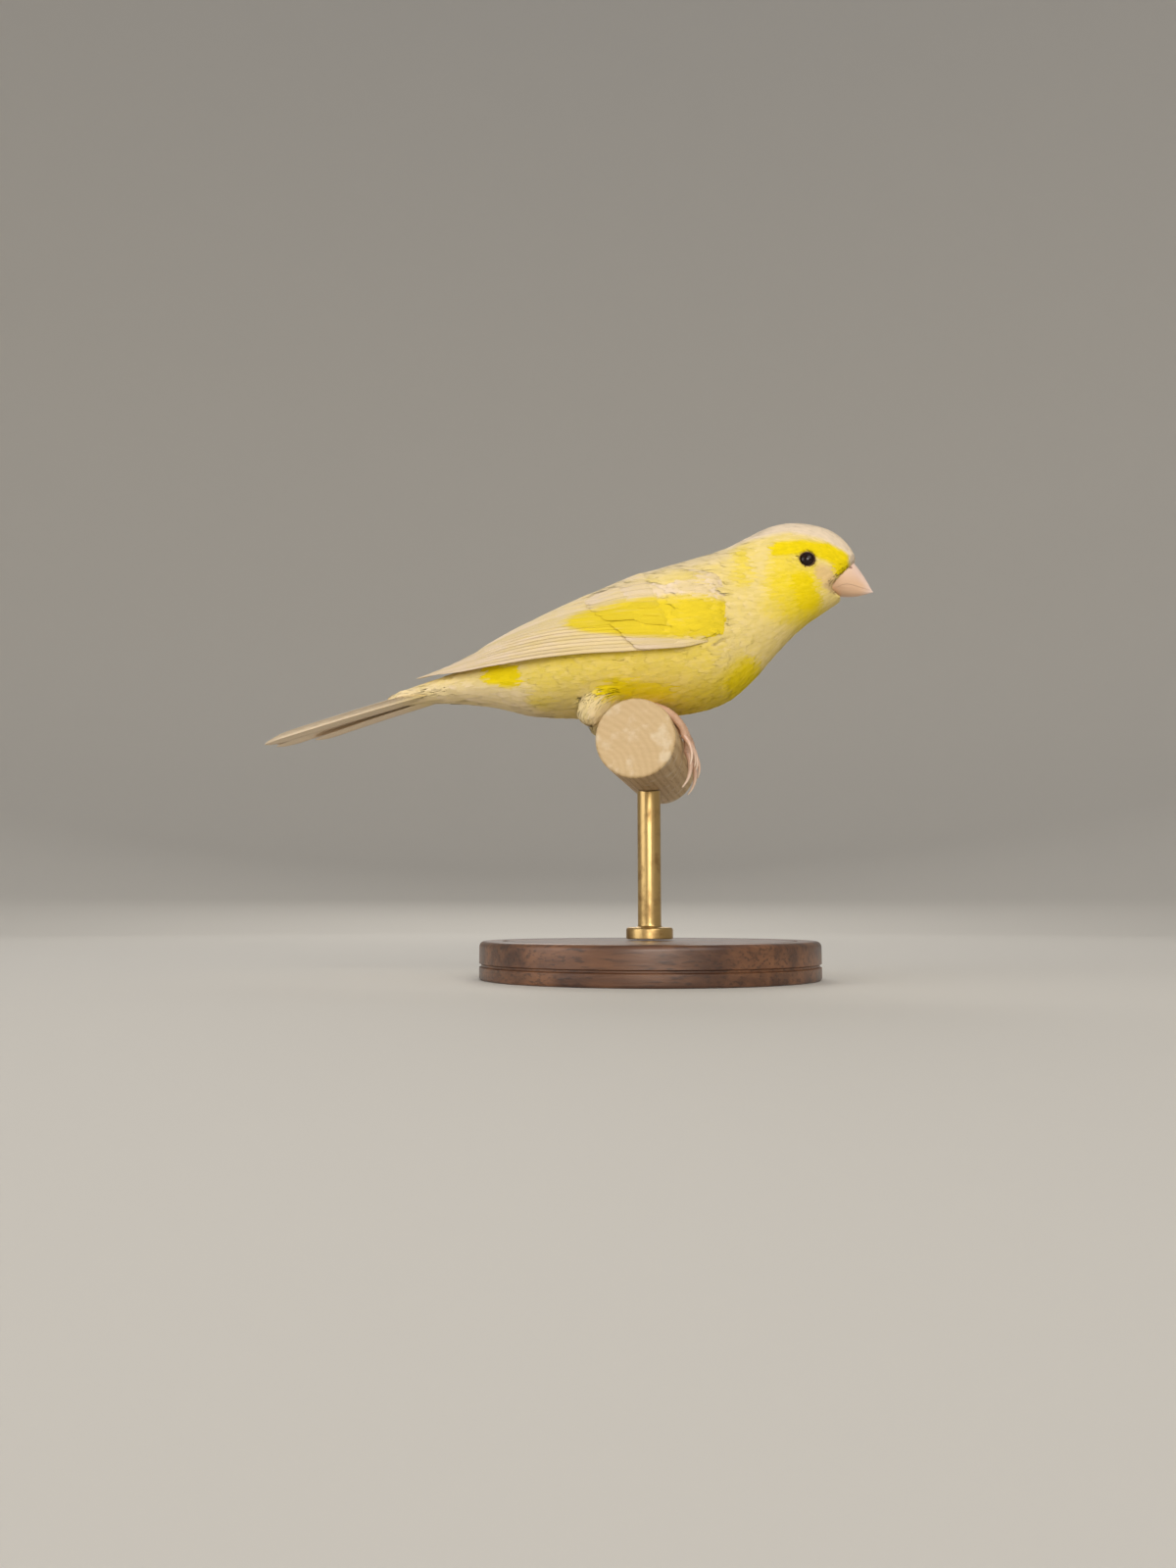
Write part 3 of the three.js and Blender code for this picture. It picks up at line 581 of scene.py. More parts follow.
# Body feathers
# Some thousands of small soft feathers grow from the skin in overlapping rows, smallest on the face.
# Each is a fan of fine barbs from one root, and lies back along the body.
TUFT = {
    "x": [46, 42, 38, 32, 26, 16, 4, -20, -60],
    "spacing": [0.36, 0.42, 0.48, 0.58, 0.7, 0.88, 1.0, 1.05, 1.1],
    "length": [1.3, 1.7, 2.1, 2.7, 3.5, 4.8, 5.6, 5.8, 7.5],
    "width": [0.6, 0.75, 0.85, 1.05, 1.35, 1.8, 2.0, 2.0, 1.8],
}
BILL_SEAT = np.array([45.0, 0.0, 85.5])
tuft_spacing = curve(TUFT, "spacing")
tuft_length = curve(TUFT, "length")
tuft_width = curve(TUFT, "width")


def bvh_of(*pieces):
    """A search tree of the surface of pieces together, in millimetres."""
    parts = [(mesh_points(made), [list(p.vertices) for p in made.data.polygons]) for made in pieces]
    points, faces = joined(parts)
    return BVHTree.FromPolygons(points.tolist(), faces)


def scattered(made, tries, keep, spacing):
    """Roots spread over a piece's surface where keep allows, about spacing apart."""
    mesh = made.data
    mesh.calc_loop_triangles()
    corners = np.empty(3 * len(mesh.loop_triangles), np.int32)
    mesh.loop_triangles.foreach_get("vertices", corners)
    a, b, c = (mesh_points(made)[corners.reshape(-1, 3)[:, k]] for k in range(3))
    area = np.linalg.norm(np.cross(b - a, c - a), axis=1)
    weight = area / spacing((a[:, 0] + b[:, 0] + c[:, 0]) / 3) ** 2
    chosen = rng.choice(len(area), tries, p=weight / weight.sum())
    u, v = rng.random(tries), rng.random(tries)
    flip = u + v > 1
    u, v = np.where(flip, 1 - u, u)[:, None], np.where(flip, 1 - v, v)[:, None]
    points = a[chosen] + u * (b - a)[chosen] + v * (c - a)[chosen]
    points = points[keep(points)]
    apart = spacing(points[:, 0])
    cell = 1.4  # wider than any spacing, so that only the next cells hold near ones
    taken, roots = {}, []
    for i, (p, gap) in enumerate(zip(points.tolist(), apart.tolist())):
        home = tuple(int(math.floor(v / cell)) for v in p)
        near = (taken.get((home[0] + dx, home[1] + dy, home[2] + dz), ())
                for dx in (-1, 0, 1) for dy in (-1, 0, 1) for dz in (-1, 0, 1))
        if all(math.dist(p, q) >= gap for group in near for q in group):
            taken.setdefault(home, []).append(p)
            roots.append(i)
    return points[roots]


THIGH_COAT = {"x": -9.5, "half": (10.5, 4), "z": (62, 55), "from": 0.35, "spacing": 0.7}


def on_thigh(points):
    """How far each place is out on a thigh, from 0 to 1."""
    from_middle = np.abs(points[:, 0] - THIGH_COAT["x"])
    return smooth(points[:, 2], *THIGH_COAT["z"]) * smooth(from_middle, *THIGH_COAT["half"])


def laid(way, normals):
    """A way that is pressed flat on the surface, at a length of one."""
    way = way - np.sum(way * normals, axis=1, keepdims=True) * normals
    return way / np.linalg.norm(way, axis=1, keepdims=True)


def lie(points, normals):
    """Which way the plumage lies at each place: back along the body, away from the bill on the head,
    down the thighs and round the eyes."""
    back = np.array([-1.0, 0.0, -0.1])
    from_bill = points - BILL_SEAT
    from_bill /= np.linalg.norm(from_bill, axis=1, keepdims=True)
    head = smooth(points[:, 0], 22, 38)[:, None]
    way = (1 - head) * back + head * from_bill
    way += on_thigh(points)[:, None] * np.array([0.4, 0, -1.7])
    out = (points - [EYE["x"], 0, EYE["z"]]) * [1, 0, 1]
    away = np.linalg.norm(out, axis=1, keepdims=True) + 1e-6
    with_flow = np.sum(out * way, axis=1, keepdims=True)
    near = (EYE["opening"] / np.maximum(away, EYE["opening"])) ** 2 * at_side(points)[:, None]
    way = way * (1 + near) - 2 * near * with_flow * out / away ** 2 + 0.06 * near * out
    return laid(way, normals)


def traced(tree, roots, ways_of, lengths, steps=3):
    """Follows the surface from each root along the plumage's lie: places, normals and ways."""
    places, all_normals, ways = [], [], []
    here = roots
    for _ in range(steps + 1):
        found = [tree.find_nearest(p) for p in here.tolist()]
        here = np.array([tuple(f[0]) for f in found])
        normals = np.array([tuple(f[1]) for f in found])
        way = ways_of(here, normals)
        places.append(here)
        all_normals.append(normals)
        ways.append(way)
        here = here + way * (lengths / steps)[:, None]
    return np.array(places), np.array(all_normals), np.array(ways)


# A barb has three points at its root, three at its widest and one at its tip. Its reach is how far
# out in the feather it stands at each, and its half how wide it is there, as shares of its room.
BARB_FACES = np.array([
    (0, 4, 3), (0, 1, 4), (1, 5, 4), (1, 2, 5), (0, 3, 5), (0, 5, 2), (3, 4, 6), (4, 5, 6), (5, 3, 6),
    (0, 2, 1),
])
BARB_STATION = [0, 0, 0, 1, 1, 1, 2]
BARB_POINTS = len(BARB_STATION)
BARB = {
    "reach": np.array([0.12, 0.46, 0.5]), "half": np.array([0.5, 0.84, 0.0]), "widest": 0.82,
    "root": 0.3, "shorter": 0.3, "crest": 0.16, "least": 0.008, "arch": 0.45, "ragged": 0.06,
    "uneven": 0.012,
}
PATCH = 0.003  # how wide each feather's place is in the map that the markings are kept in


def spot_of(roots):
    """Each feather's own place in that map, by where it grows along and round the body."""
    x = roots[:, 0]
    along = (x - x.min()) / (x.max() - x.min())
    angle = np.arctan2(roots[:, 2] - body["mid"](x), roots[:, 1])
    return np.stack([0.01 + 0.98 * along, 0.01 + 0.98 * ((angle / (2 * np.pi)) % 1)], axis=1)


def keep_map(made, spots):
    """Gives each point its place in the map that the markings are kept in."""
    layer = made.data.uv_layers.new(name="OFBake")
    corners = np.empty(len(made.data.loops), np.int32)
    made.data.loops.foreach_get("vertex_index", corners)
    layer.data.foreach_set("uv", spots[corners].astype(np.float32).ravel())


def soften(made, beneath, share=0.9):
    """Turns a coat's shading towards the surface beneath it, so that it reads as one soft mass."""
    own = np.empty(3 * len(made.data.vertices), np.float32)
    made.data.vertices.foreach_get("normal", own)
    shading = share * beneath + (1 - share) * own.reshape(-1, 3)
    shading /= np.linalg.norm(shading, axis=1, keepdims=True)
    made.data.normals_split_custom_set_from_vertices(shading)


def fanned(name, tree, roots, ways_of, lengths, widths, barbs, lift, marks, base):
    """One piece of feathers, each a fan of barbs. Base and lift are how high their roots and tips
    stand off the skin, and marks is what colours them."""
    count = len(roots)
    places, normals, ways = traced(tree, roots, ways_of, lengths)
    sizes = (lengths, widths, lift, base)
    lengths, widths, lift, base = (np.broadcast_to(size, count)[:, None, None] for size in sizes)
    fan = np.linspace(-1, 1, barbs)[None, :] + rng.normal(0, BARB["ragged"], (count, barbs))
    start = BARB["root"] * (1 - np.abs(fan)).clip(0, 1)
    end = (1 - BARB["shorter"] * fan ** 2) * (1 + rng.normal(0, BARB["ragged"], fan.shape))
    along = np.stack([start, start + BARB["widest"] * (end - start), end], axis=-1)
    spread = fan[..., None] * BARB["reach"]
    across = spread * widths
    barb_half = BARB["half"] * (widths / barbs)
    high = base + (lift - base) * along ** 0.8 * (1 - 0.3 * along ** 6)
    high -= BARB["arch"] * across ** 2 / widths
    high += rng.normal(0, BARB["uneven"], (count, barbs, 1)) * lift * along
    station = np.clip(along, 0, 1) * (len(places) - 1)
    before = np.minimum(station.astype(int), len(places) - 2)
    part = (station - before)[..., None]
    feather = np.arange(count)[:, None, None]

    def on_the_way(values):
        return values[before, feather] * (1 - part) + values[before + 1, feather] * part

    normal, way = on_the_way(normals), on_the_way(ways)
    side = np.cross(normal, way)
    side /= np.linalg.norm(side, axis=-1, keepdims=True)
    spine = on_the_way(places) + side * across[..., None] + normal * high[..., None]
    spine += way * (np.maximum(along - 1, 0) * lengths)[..., None]
    reach = side * barb_half[..., None]
    crest = normal * (BARB["crest"] * barb_half + BARB["least"])[..., None]
    left, right, top = spine - reach, spine + reach, spine + crest
    at_root, near_end = ([v[:, :, i] for v in (left, right, top)] for i in (0, 1))
    points = np.stack([*at_root, *near_end, spine[:, :, 2]], axis=2).reshape(-1, 3)
    starts = np.arange(count * barbs)[:, None, None] * BARB_POINTS
    made = new_piece(name, points, (starts + BARB_FACES[None]).reshape(-1, 3))
    soften(made, normal[:, :, BARB_STATION].reshape(-1, 3))
    own = np.repeat(np.arange(count), barbs * BARB_POINTS)
    tipwards = along[..., BARB_STATION].ravel().clip(0, 1)
    yellow, peach = (np.repeat(v, BARB_POINTS) for v in marks(spine[:, :, 1].reshape(-1, 3)))
    tag(made, along=tipwards, yellow=yellow, peach=peach, chance=rng.random(count)[own])
    in_patch = np.stack([tipwards - 0.5, spread[..., BARB_STATION].ravel()], axis=1)
    keep_map(made, spot_of(roots)[own] + PATCH * in_patch)
    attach(made, "root")
    return made


def bare(points):
    """Where no body feather grows: in front of the face's edge and inside the eyes' lids."""
    ahead = points[:, 0] > face_edge(points[:, 2]) + 0.4
    return ahead | (at_side(points) & (from_eye(points) < EYE["opening"] + 0.5))


def wing_angle(points, out):
    """The angle of places round the wing's shell. Out is how far they lie out on the wing's side."""
    return np.degrees(np.arctan2(points[:, 2] - wing["mid"](points[:, 0]), out))


def under_wing(points):
    """Where the folded wing hides the body."""
    x = points[:, 0]
    angle = wing_angle(points, np.abs(points[:, 1]))
    lowest = wing["low"](x) + 8 + 7 * smooth(x, -12, -25)
    return (x < 17) & (x > -25) & (angle > lowest) & (angle < wing["high"](x) - 9)


def even(spacing):
    """The same spacing all over."""
    return lambda x: np.full(len(x), spacing)


feather_finish = plumage("small_feathers", 0.12, Roughness=0.8, Specular_IOR_Level=0.12)
flesh_tree = bvh_of(skin, *beds.values())
roots = scattered(skin, 60000, lambda p: ~bare(p) & ~under_wing(p), tuft_spacing)
thigh_roots = scattered(
    skin, 30000, lambda p: on_thigh(p) > THIGH_COAT["from"], even(THIGH_COAT["spacing"]),
)
roots = np.vstack([roots[on_thigh(roots) <= THIGH_COAT["from"]], thigh_roots])
BED_SHARE = 0.82  # the feathers are bedded this deep in the coat at their roots
# Where along the body each region lies, and how many barbs its feathers have.
REGIONS = {"head": (26, 60, 7), "neck": (8, 26, 10), "body": (-24, 8, 12), "rump": (-70, -24, 11)}
for region, (low, high, barbs) in REGIONS.items():
    own = roots[(roots[:, 0] >= low) & (roots[:, 0] < high)]
    x = own[:, 0]
    short = np.where(at_side(own), 0.5 + 0.5 * smooth(from_eye(own), 1.8, 4), 1)
    short *= 1 - 0.25 * on_thigh(own)
    lengths = tuft_length(x) * short * rng.uniform(0.88, 1.12, len(own))
    facing_eye = (x > EYE["x"]) & (np.abs(own[:, 2] - EYE["z"]) < 1.7) & at_side(own)
    room = 1.1 * (from_eye(own) - EYE["opening"]) + 0.1
    lengths = np.where(facing_eye, np.minimum(lengths, room), lengths)
    bedded = BED_SHARE * smooth(face_edge(own[:, 2]) - x, 0.4, 2)
    coat = fanned(
        f"feathers_{region}", flesh_tree, own, lie, lengths, tuft_width(x) * short ** 0.7, barbs,
        coat_depth(x) * rng.uniform(0.9, 1.1, len(own)), markings, bedded * coat_depth(x),
    )
    feather_finish.wear(coat)


def outwards(points, normals):
    """Away from the eye's middle and a little back, along the skin."""
    return laid((points - [EYE["x"], 0, EYE["z"]]) * [1, 0, 1] + [-1.0, 0, -0.1], normals)


EYE_ROWS = ((1.6, 34), (1.85, 40), (2.15, 44), (2.5, 48))  # how far out each row is, and its feathers
for side, hand in HANDS:
    rows = []
    for away, count in EYE_ROWS:
        turn = all_round(count) + away
        x, z = EYE["x"] + away * np.cos(turn), EYE["z"] + away * np.sin(turn)
        rows.append(xyz(x, side * 9, z))
    found = [flesh_tree.ray_cast(p, (0, -side, 0)) for p in np.vstack(rows).tolist()]
    ring = np.array([tuple(f[0]) for f in found])
    ring_coat = fanned(
        f"feathers_eye_{hand}", flesh_tree, ring, outwards,
        0.8 + 1.1 * smooth(ring[:, 0], EYE["x"], EYE["x"] - 2), rng.uniform(0.55, 0.65, len(ring)), 6,
        rng.uniform(0.48, 0.56, len(ring)), markings, 0.36,
    )
    feather_finish.wear(ring_coat)

# Wings
# The folded wing's firm feathers are rooted in its flesh in tiers, each row's roots hidden by the
# coverts that lie over them, and the longest reach the tail. Small soft ones cover the shoulder.
VANE_ACROSS = np.array([-1, -0.72, -0.42, -0.07, 0, 0.07, 0.42, 0.72, 1])
SHAFT_FORWARD = -0.22  # the shaft lies nearer to a wing feather's outer edge
ROOT_SUNK = 1.3
# Each row's values run from its lowest feather to its highest: how far forward and how far up the
# wing's breadth its roots and tips lie, and half its width. Lift is how high a tip stands off the
# wing and settle how much of that it loses, tilt how far its upper edge is tucked under the next.
TIERS = {
    "primaries": {
        "count": 9, "root_x": (12, 2), "root": (0.08, 0.3), "tip": (0.2, 0.62), "half": (1.7, 2.2),
        "tip_x": (-47, -50.5, -51.5, -49.5, -46.5, -43.5, -40.5), "lift": 0.1, "settle": 0, "tilt": 0.34,
        "round": 0.86, "thick": 0.2,
    },
    "secondaries": {
        "count": 7, "root_x": (3, -4), "root": (0.33, 0.62), "tip": (0.46, 0.74), "half": (2.2, 2.6),
        "tip_x": (-38, -37.5, -37, -36.5, -36), "lift": 0.2, "settle": 0, "tilt": 0.24, "round": 0.9,
        "thick": 0.2,
    },
    "tertials": {
        "count": 3, "root_x": (-4, -3), "root": (0.68, 0.88), "tip": (0.76, 0.9), "half": (2.9, 3.3),
        "tip_x": (-34.5, -30.5, -25.5), "lift": 0.4, "settle": 0.3, "tilt": 0.16, "round": 0.84,
        "thick": 0.18,
    },
    "primary_coverts": {
        "count": 7, "root_x": (14, 9), "root": (0.08, 0.28), "tip": (0.1, 0.3), "half": (1.1, 1.4),
        "tip_x": (-1, -3.5, -5.5), "lift": 0.2, "settle": 1, "tilt": 0.16, "round": 0.78,
        "thick": 0.12,
    },
    "greater_coverts": {
        "count": 9, "root_x": (6, -2), "root": (0.34, 0.88), "tip": (0.38, 0.9), "half": (1.7, 2.1),
        "tip_x": (-8, -10, -11.5, -12.5, -12.5, -12), "lift": 0.38, "settle": 0.85, "tilt": 0.11,
        "round": 0.72, "thick": 0.1,
    },
    "median_coverts": {
        "count": 9, "root_x": (9, 3), "root": (0.28, 0.88), "tip": (0.32, 0.9), "half": (1.6, 1.9),
        "tip_x": (-0.5, -2.5, -4, -5, -5), "lift": 0.52, "settle": 0.6, "tilt": 0.1, "round": 0.66,
        "thick": 0.1,
    },
}


def vane(place, half, round_from, thick, shaft, rows=30, blunt=2.4):
    """A flight feather as a thin closed blade with a raised shaft. place(t, across, lift) puts it.
    Returns its points, faces, and how far along and across the feather each point is."""
    t = 1 - (1 - np.linspace(0, 1, rows)) ** 1.35
    late = ((t - round_from) / (1 - round_from)).clip(0, 1)
    width = (0.5 + 0.5 * smooth(t, 0, 0.35)) * (1 - late ** blunt).clip(0.012, 1) ** 0.5
    v = VANE_ACROSS[None, :]
    at_rim = (np.abs(v) == 1) * smooth(t, 0.3, 0.8)[:, None]
    frayed = 1 - 0.05 * rng.random((rows, len(VANE_ACROSS))) * at_rim
    across = (v * frayed + shaft * (1 - v ** 2)) * half * width[:, None]
    camber = -0.16 * half * v ** 2 * width[:, None]
    ridge = 0.09 * (1 - 0.8 * t)[:, None] * (np.abs(v) < 0.05)
    body_thick = thick * (1 - 0.7 * np.abs(v)) * (1 - 0.5 * t)[:, None]
    t = t[:, None] + 0 * v
    points, faces = plate(place(t, across, camber + ridge), place(t, across, camber - body_thick - ridge))
    return points, faces, np.tile(t.ravel(), 2), np.tile(across.ravel(), 2)


def vane_piece(name, feathers, marks):
    """Joins feathers of points, faces, places along and across and a length in one piece."""
    sizes = [len(f[0]) for f in feathers]
    starts = np.cumsum([0] + sizes[:-1])
    points, along, across = (np.concatenate([f[i] for f in feathers]) for i in (0, 2, 3))
    made = new_piece(name, points, np.vstack([f[1] + start for f, start in zip(feathers, starts)]))
    yellow, peach = marks(points)
    down_shaft = along * np.repeat([f[4] for f in feathers], sizes)
    chance = np.repeat(rng.random(len(feathers)), sizes)
    tag(made, along=along, across=across, down_shaft=down_shaft)
    tag(made, chance=chance, yellow=yellow, peach=peach)
    row = np.repeat(np.arange(len(feathers)), sizes) + 0.9 * (across / 8 + 0.5)
    keep_map(made, np.stack([0.01 + 0.98 * along, 0.005 + row / len(feathers)], axis=1).clip(0, 1))
    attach(made, "root")
    return made


def tier(side, size):
    """The feathers of one row of the folded wing, from the lowest to the highest."""
    feathers = []
    for f in np.linspace(0, 1, size["count"]):
        keys = ("root_x", "tip_x", "root", "tip", "half")
        own = [np.interp(f, np.linspace(0, 1, len(size[key])), size[key]) for key in keys]
        root_x, tip_x, root_s, tip_s, half = own
        tip_x += rng.uniform(-0.3, 0.3)
        tip_s += rng.uniform(-0.006, 0.006)
        half *= rng.uniform(0.96, 1.04)

        def place(t, across, lift):
            x = root_x + (tip_x - root_x) * t
            angle = across_wing(x, root_s + (tip_s - root_s) * t)
            per_mm = np.degrees(1 / np.hypot(wing["half"](x), 0.5 * (wing["top"](x) - wing["mid"](x))))
            sunk = ROOT_SUNK * (1 - t / 0.4).clip(0, 1)
            out = size["lift"] * (1 - size["settle"] * t) - sunk - size["tilt"] * across + lift
            return shell_point(x, angle + across * per_mm, out) * (1, side, 1)

        points, faces, along, across = vane(place, half, size["round"], size["thick"], SHAFT_FORWARD)
        feathers.append((points, faces[:, ::side], along, across, root_x - tip_x))
    return feathers


def backwards(points, normals):
    """The wing's small feathers lie straight back, a little downwards."""
    return laid(np.array([-1.0, 0.0, -0.16]), normals)


def up_wing(points):
    """How far up the wing's breadth each place is, from 0 at its lower edge to 1 at its upper."""
    low, high = (wing[key](points[:, 0]) for key in ("low", "high"))
    return (wing_angle(points, np.abs(points[:, 1])) - low) / (high - low)


def on_shoulder(points):
    """The outer face of the wing ahead of the median coverts' middle."""
    x = points[:, 0]
    share = up_wing(points)
    edgeways = np.cos(np.radians(across_wing(x, share))).clip(0.2, 1)
    outer = np.abs(points[:, 1]) > 0.5 * wing["half"](x) * edgeways
    return outer & (share > 0.09) & (x > -14 * (share > 0.86)) & (x > 9 - 30 * (share - 0.1))


def over_top(points, side):
    """How far past the wing's upper edge each place is, in degrees round its shell."""
    return wing_angle(points, side * points[:, 1]) - wing["high"](points[:, 0])


def at_top(points, side):
    """Along the upper edge of the wing, where the shoulder feathers of the back lap over it."""
    x = points[:, 0]
    band = (wing["high"](x) - wing["low"](x)) * (0.26 - 0.14 * smooth(x, -8, -26))
    over = over_top(points, side)
    return (over > -band) & (over < 10) & (x > -28) & (x < 17)


BARB_SLANT = 1.3
BARB_STEP = 0.32


def vane_finish(name, **constants):
    """Firm feathers: fine slanting barbs on both sides of a pale shaft."""
    finish = plumage(name, 0.25, 2.2, (0.12, 1, 1.6), **constants)
    slant = finish.read("down_shaft") - abs(finish.read("across")) * BARB_SLANT
    barbs = (slant * (2 * math.pi / BARB_STEP)).maths("SINE")
    finish.bump(barbs * 0.5 + finish.noise(2500, 2) * 0.6, 0.00004)
    return finish


flight_finish = vane_finish("flight_feathers", Roughness=0.6, Specular_IOR_Level=0.15)
shoulder_finish = plumage(
    "shoulder_feathers", 0.25, 1.3, (0.25, 1, 1.3), Roughness=0.8, Specular_IOR_Level=0.12,
)
for side, hand in HANDS:
    for name, size in TIERS.items():
        row = vane_piece(f"{name}_{hand}", tier(side, size), wing_markings)
        flight_finish.wear(row)

    small = scattered(beds[side], 9000, on_shoulder, even(0.9))
    risen = smooth(small[:, 0], 19, 9) * (0.3 + 0.7 * smooth(up_wing(small), 0.09, 0.22))
    risen *= 1 - 0.5 * smooth(up_wing(small), 0.7, 0.88)
    lesser = fanned(
        f"lesser_coverts_{hand}", flesh_tree, small, backwards, rng.uniform(3.6, 4.6, len(small)),
        rng.uniform(1.7, 2.1, len(small)), 9, (0.45 + 0.75 * risen) * rng.uniform(0.97, 1.03, len(small)),
        wing_markings, 0.25 + 0.55 * risen,
    )
    shoulder_finish.wear(lesser)

    grounds = (beds[side], skin)
    top = np.vstack([scattered(made, 9000, lambda p: at_top(p, side), even(0.85)) for made in grounds])
    risen = smooth(over_top(top, side), 9, -6) * smooth(top[:, 0], 18, 7)
    scapulars = fanned(
        f"scapulars_{hand}", flesh_tree, top, backwards, rng.uniform(5.0, 6.5, len(top)),
        rng.uniform(1.9, 2.3, len(top)), 12, 0.5 + 0.9 * risen, markings, 0.2 + 0.65 * risen,
    )
    feather_finish.wear(scapulars)

# Tail
# Six pairs of long firm feathers lie in a narrow stack, the middle pair on top. The outermost one on
# the bird's left is part grown and shows below the rest.
TAIL = {
    "pairs": 6, "root_x": -40, "root_z": 66.2, "drop": 15.2, "length": 46, "notch": 2.6, "half": 2.7,
    "outer_half": 2.2, "first_root": 0.4, "root_spread": 0.3, "first_tip": 1.2, "tip_spread": 0.46,
    "step": 0.34, "side_step": 0.18,
}
GROWING = {"short": 9, "spread": 0.9, "under": 0.4}


def tail_feather(pair, side):
    """One feather of a pair, placed from its root under the coverts to its tip."""
    growing = pair == TAIL["pairs"] - 1 and side > 0
    outwards = pair / (TAIL["pairs"] - 1)
    root = TAIL["first_root"] + TAIL["root_spread"] * pair
    tip = TAIL["first_tip"] + TAIL["tip_spread"] * pair + growing * GROWING["spread"]
    length = TAIL["length"] + TAIL["notch"] * math.sin(math.pi / 2 * outwards)
    length -= growing * GROWING["short"]
    half = TAIL["half"] + (TAIL["outer_half"] - TAIL["half"]) * outwards
    under = -TAIL["step"] * pair - (side < 0) * TAIL["side_step"] - growing * GROWING["under"]
    drop = math.radians(TAIL["drop"])

    def place(t, across, lift):
        along = -length * t
        high = under + lift + 0.25 * np.sin(math.pi * t)
        x = TAIL["root_x"] + along * math.cos(drop) - high * math.sin(drop)
        z = TAIL["root_z"] + along * math.sin(drop) + high * math.cos(drop)
        return xyz(x, side * (root + (tip - root) * t + across), z)

    shaft = 0.15 + 0.3 * outwards
    points, faces, along, across = vane(place, half, 0.88, 0.22, shaft, rows=40, blunt=1.8)
    return points, faces[:, ::-side], along, across, length


def tail_markings(places):
    """White all over, with a breath of yellow at the root."""
    return 0.03 + 0.2 * smooth(places[:, 0], -60, -44), np.full(len(places), 0.05)


tail_feathers = [tail_feather(pair, side) for pair in range(TAIL["pairs"]) for side in (1, -1)]
tail = vane_piece("tail_feathers", tail_feathers, tail_markings)
flight_finish.wear(tail)
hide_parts("tail")

# Eyes
# A dark wet ball in each side of the head, held by a thin bare ring of lid.
BALL = {"bulge": 0.05, "rings": 26, "around": 40}
LID = {"thick": 0.1, "long": 1.05, "high": 0.97, "out": 1.6, "rings": 72, "around": 14}


def drum(rings, around):
    """Faces of a row of rings that a flat closes at each end."""
    last = (rings - 1) * around
    flats = [list(range(around))[::-1], list(range(last, last + around))]
    return quads_of(rings, around).tolist() + flats


eye_finish = Finish("eye", Roughness=0.09, Specular_IOR_Level=0.3)
eye_finish.vary("Base Color", eye_finish.mix(eye_finish.noise(700, 2), srgb(14, 6, 5), srgb(38, 16, 10)))
lid_finish = Finish("eyelid", Roughness=0.6)
lid_finish.vary("Base Color", lid_finish.mix(lid_finish.noise(3000), srgb(118, 84, 48), srgb(74, 50, 30)))
lid_finish.bump(lid_finish.noise(5000, 2), 0.00008)
for side, hand in HANDS:
    turn = all_round(BALL["around"])
    turn, climb = np.meshgrid(turn, np.linspace(-1.5, 1.5, BALL["rings"]))
    outward = np.cos(climb) * np.cos(turn)
    radius = EYE["radius"] * (1 + BALL["bulge"] * smooth(outward, 0.6, 1))
    x = EYE["x"] + radius * np.sin(climb)
    y = side * (EYE["y"] + radius * outward)
    z = EYE["z"] + radius * np.cos(climb) * np.sin(turn)
    faces = [face[::side] for face in drum(BALL["rings"], BALL["around"])]
    eye = new_piece(f"eyeball_{hand}", xyz(x, y, z).reshape(-1, 3), faces)
    eye_finish.wear(eye)
    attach(eye, "root")
    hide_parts(f"eye_{hand}")

    lap, about = (all_round(LID[key]) for key in ("rings", "around"))
    lap, about = np.meshgrid(lap, about, indexing="ij")
    thick = LID["thick"] * (1 + 0.08 * np.sin(23 * lap) + 0.15 * np.sin(lap))
    over = thick * (1 + np.cos(about))
    reach = EYE["opening"] + over
    x = EYE["x"] + reach * np.cos(lap) * LID["long"]
    y = side * (EYE["y"] + LID["out"] - 0.5 * over + thick * np.sin(about) - 0.1 * np.cos(lap))
    z = EYE["z"] + reach * np.sin(lap) * LID["high"]
    last = (LID["rings"] - 1) * LID["around"]
    faces = quads_of(LID["rings"], LID["around"]).tolist()
    for j in range(LID["around"]):
        k = (j + 1) % LID["around"]
        faces.append([last + j, last + k, k, j])
    faces = [face[::side] for face in faces]
    lid = new_piece(f"eyelid_{hand}", xyz(x, y, z).reshape(-1, 3), faces)
    lid_finish.wear(lid)
    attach(lid, "root")

# Bill
# A short stout cone of pinkish horn in two halves that meet along a bent mouth line. The upper one
# has a rounded ridge, and a small nostril on each side where the feathers begin. Light and shade are
# painted into the horn: its upper faces are paler as a painted highlight, and the nostril's pit is
# painted dark as shade.
BILL = {
    "x": 38.9, "z": 85.1, "drop": 18.5, "length": 10, "up": 5.05, "ridge": 0.4, "down": 3, "half": 3.6,
    "tip": 0.16, "flare": 0.95, "flare_length": 0.3,
}
MOUTH = {"x": [37, 42.6, 50], "z": [80.9, 83.4, 81.69], "gap": 0.012, "hollow": 0.25}
# dark is how far from the nostril its painted shade reaches.
NOSTRIL = {"x": 43.7, "z": 87.1, "radius": 0.62, "deep": 0.5, "tall": 0.8, "dark": 0.5}
bill_drop = math.radians(BILL["drop"])


def from_nostril(x, z):
    """How far places of the side view lie from the nostril, which is longer than tall."""
    return np.hypot(x - NOSTRIL["x"], (z - NOSTRIL["z"]) / NOSTRIL["tall"])


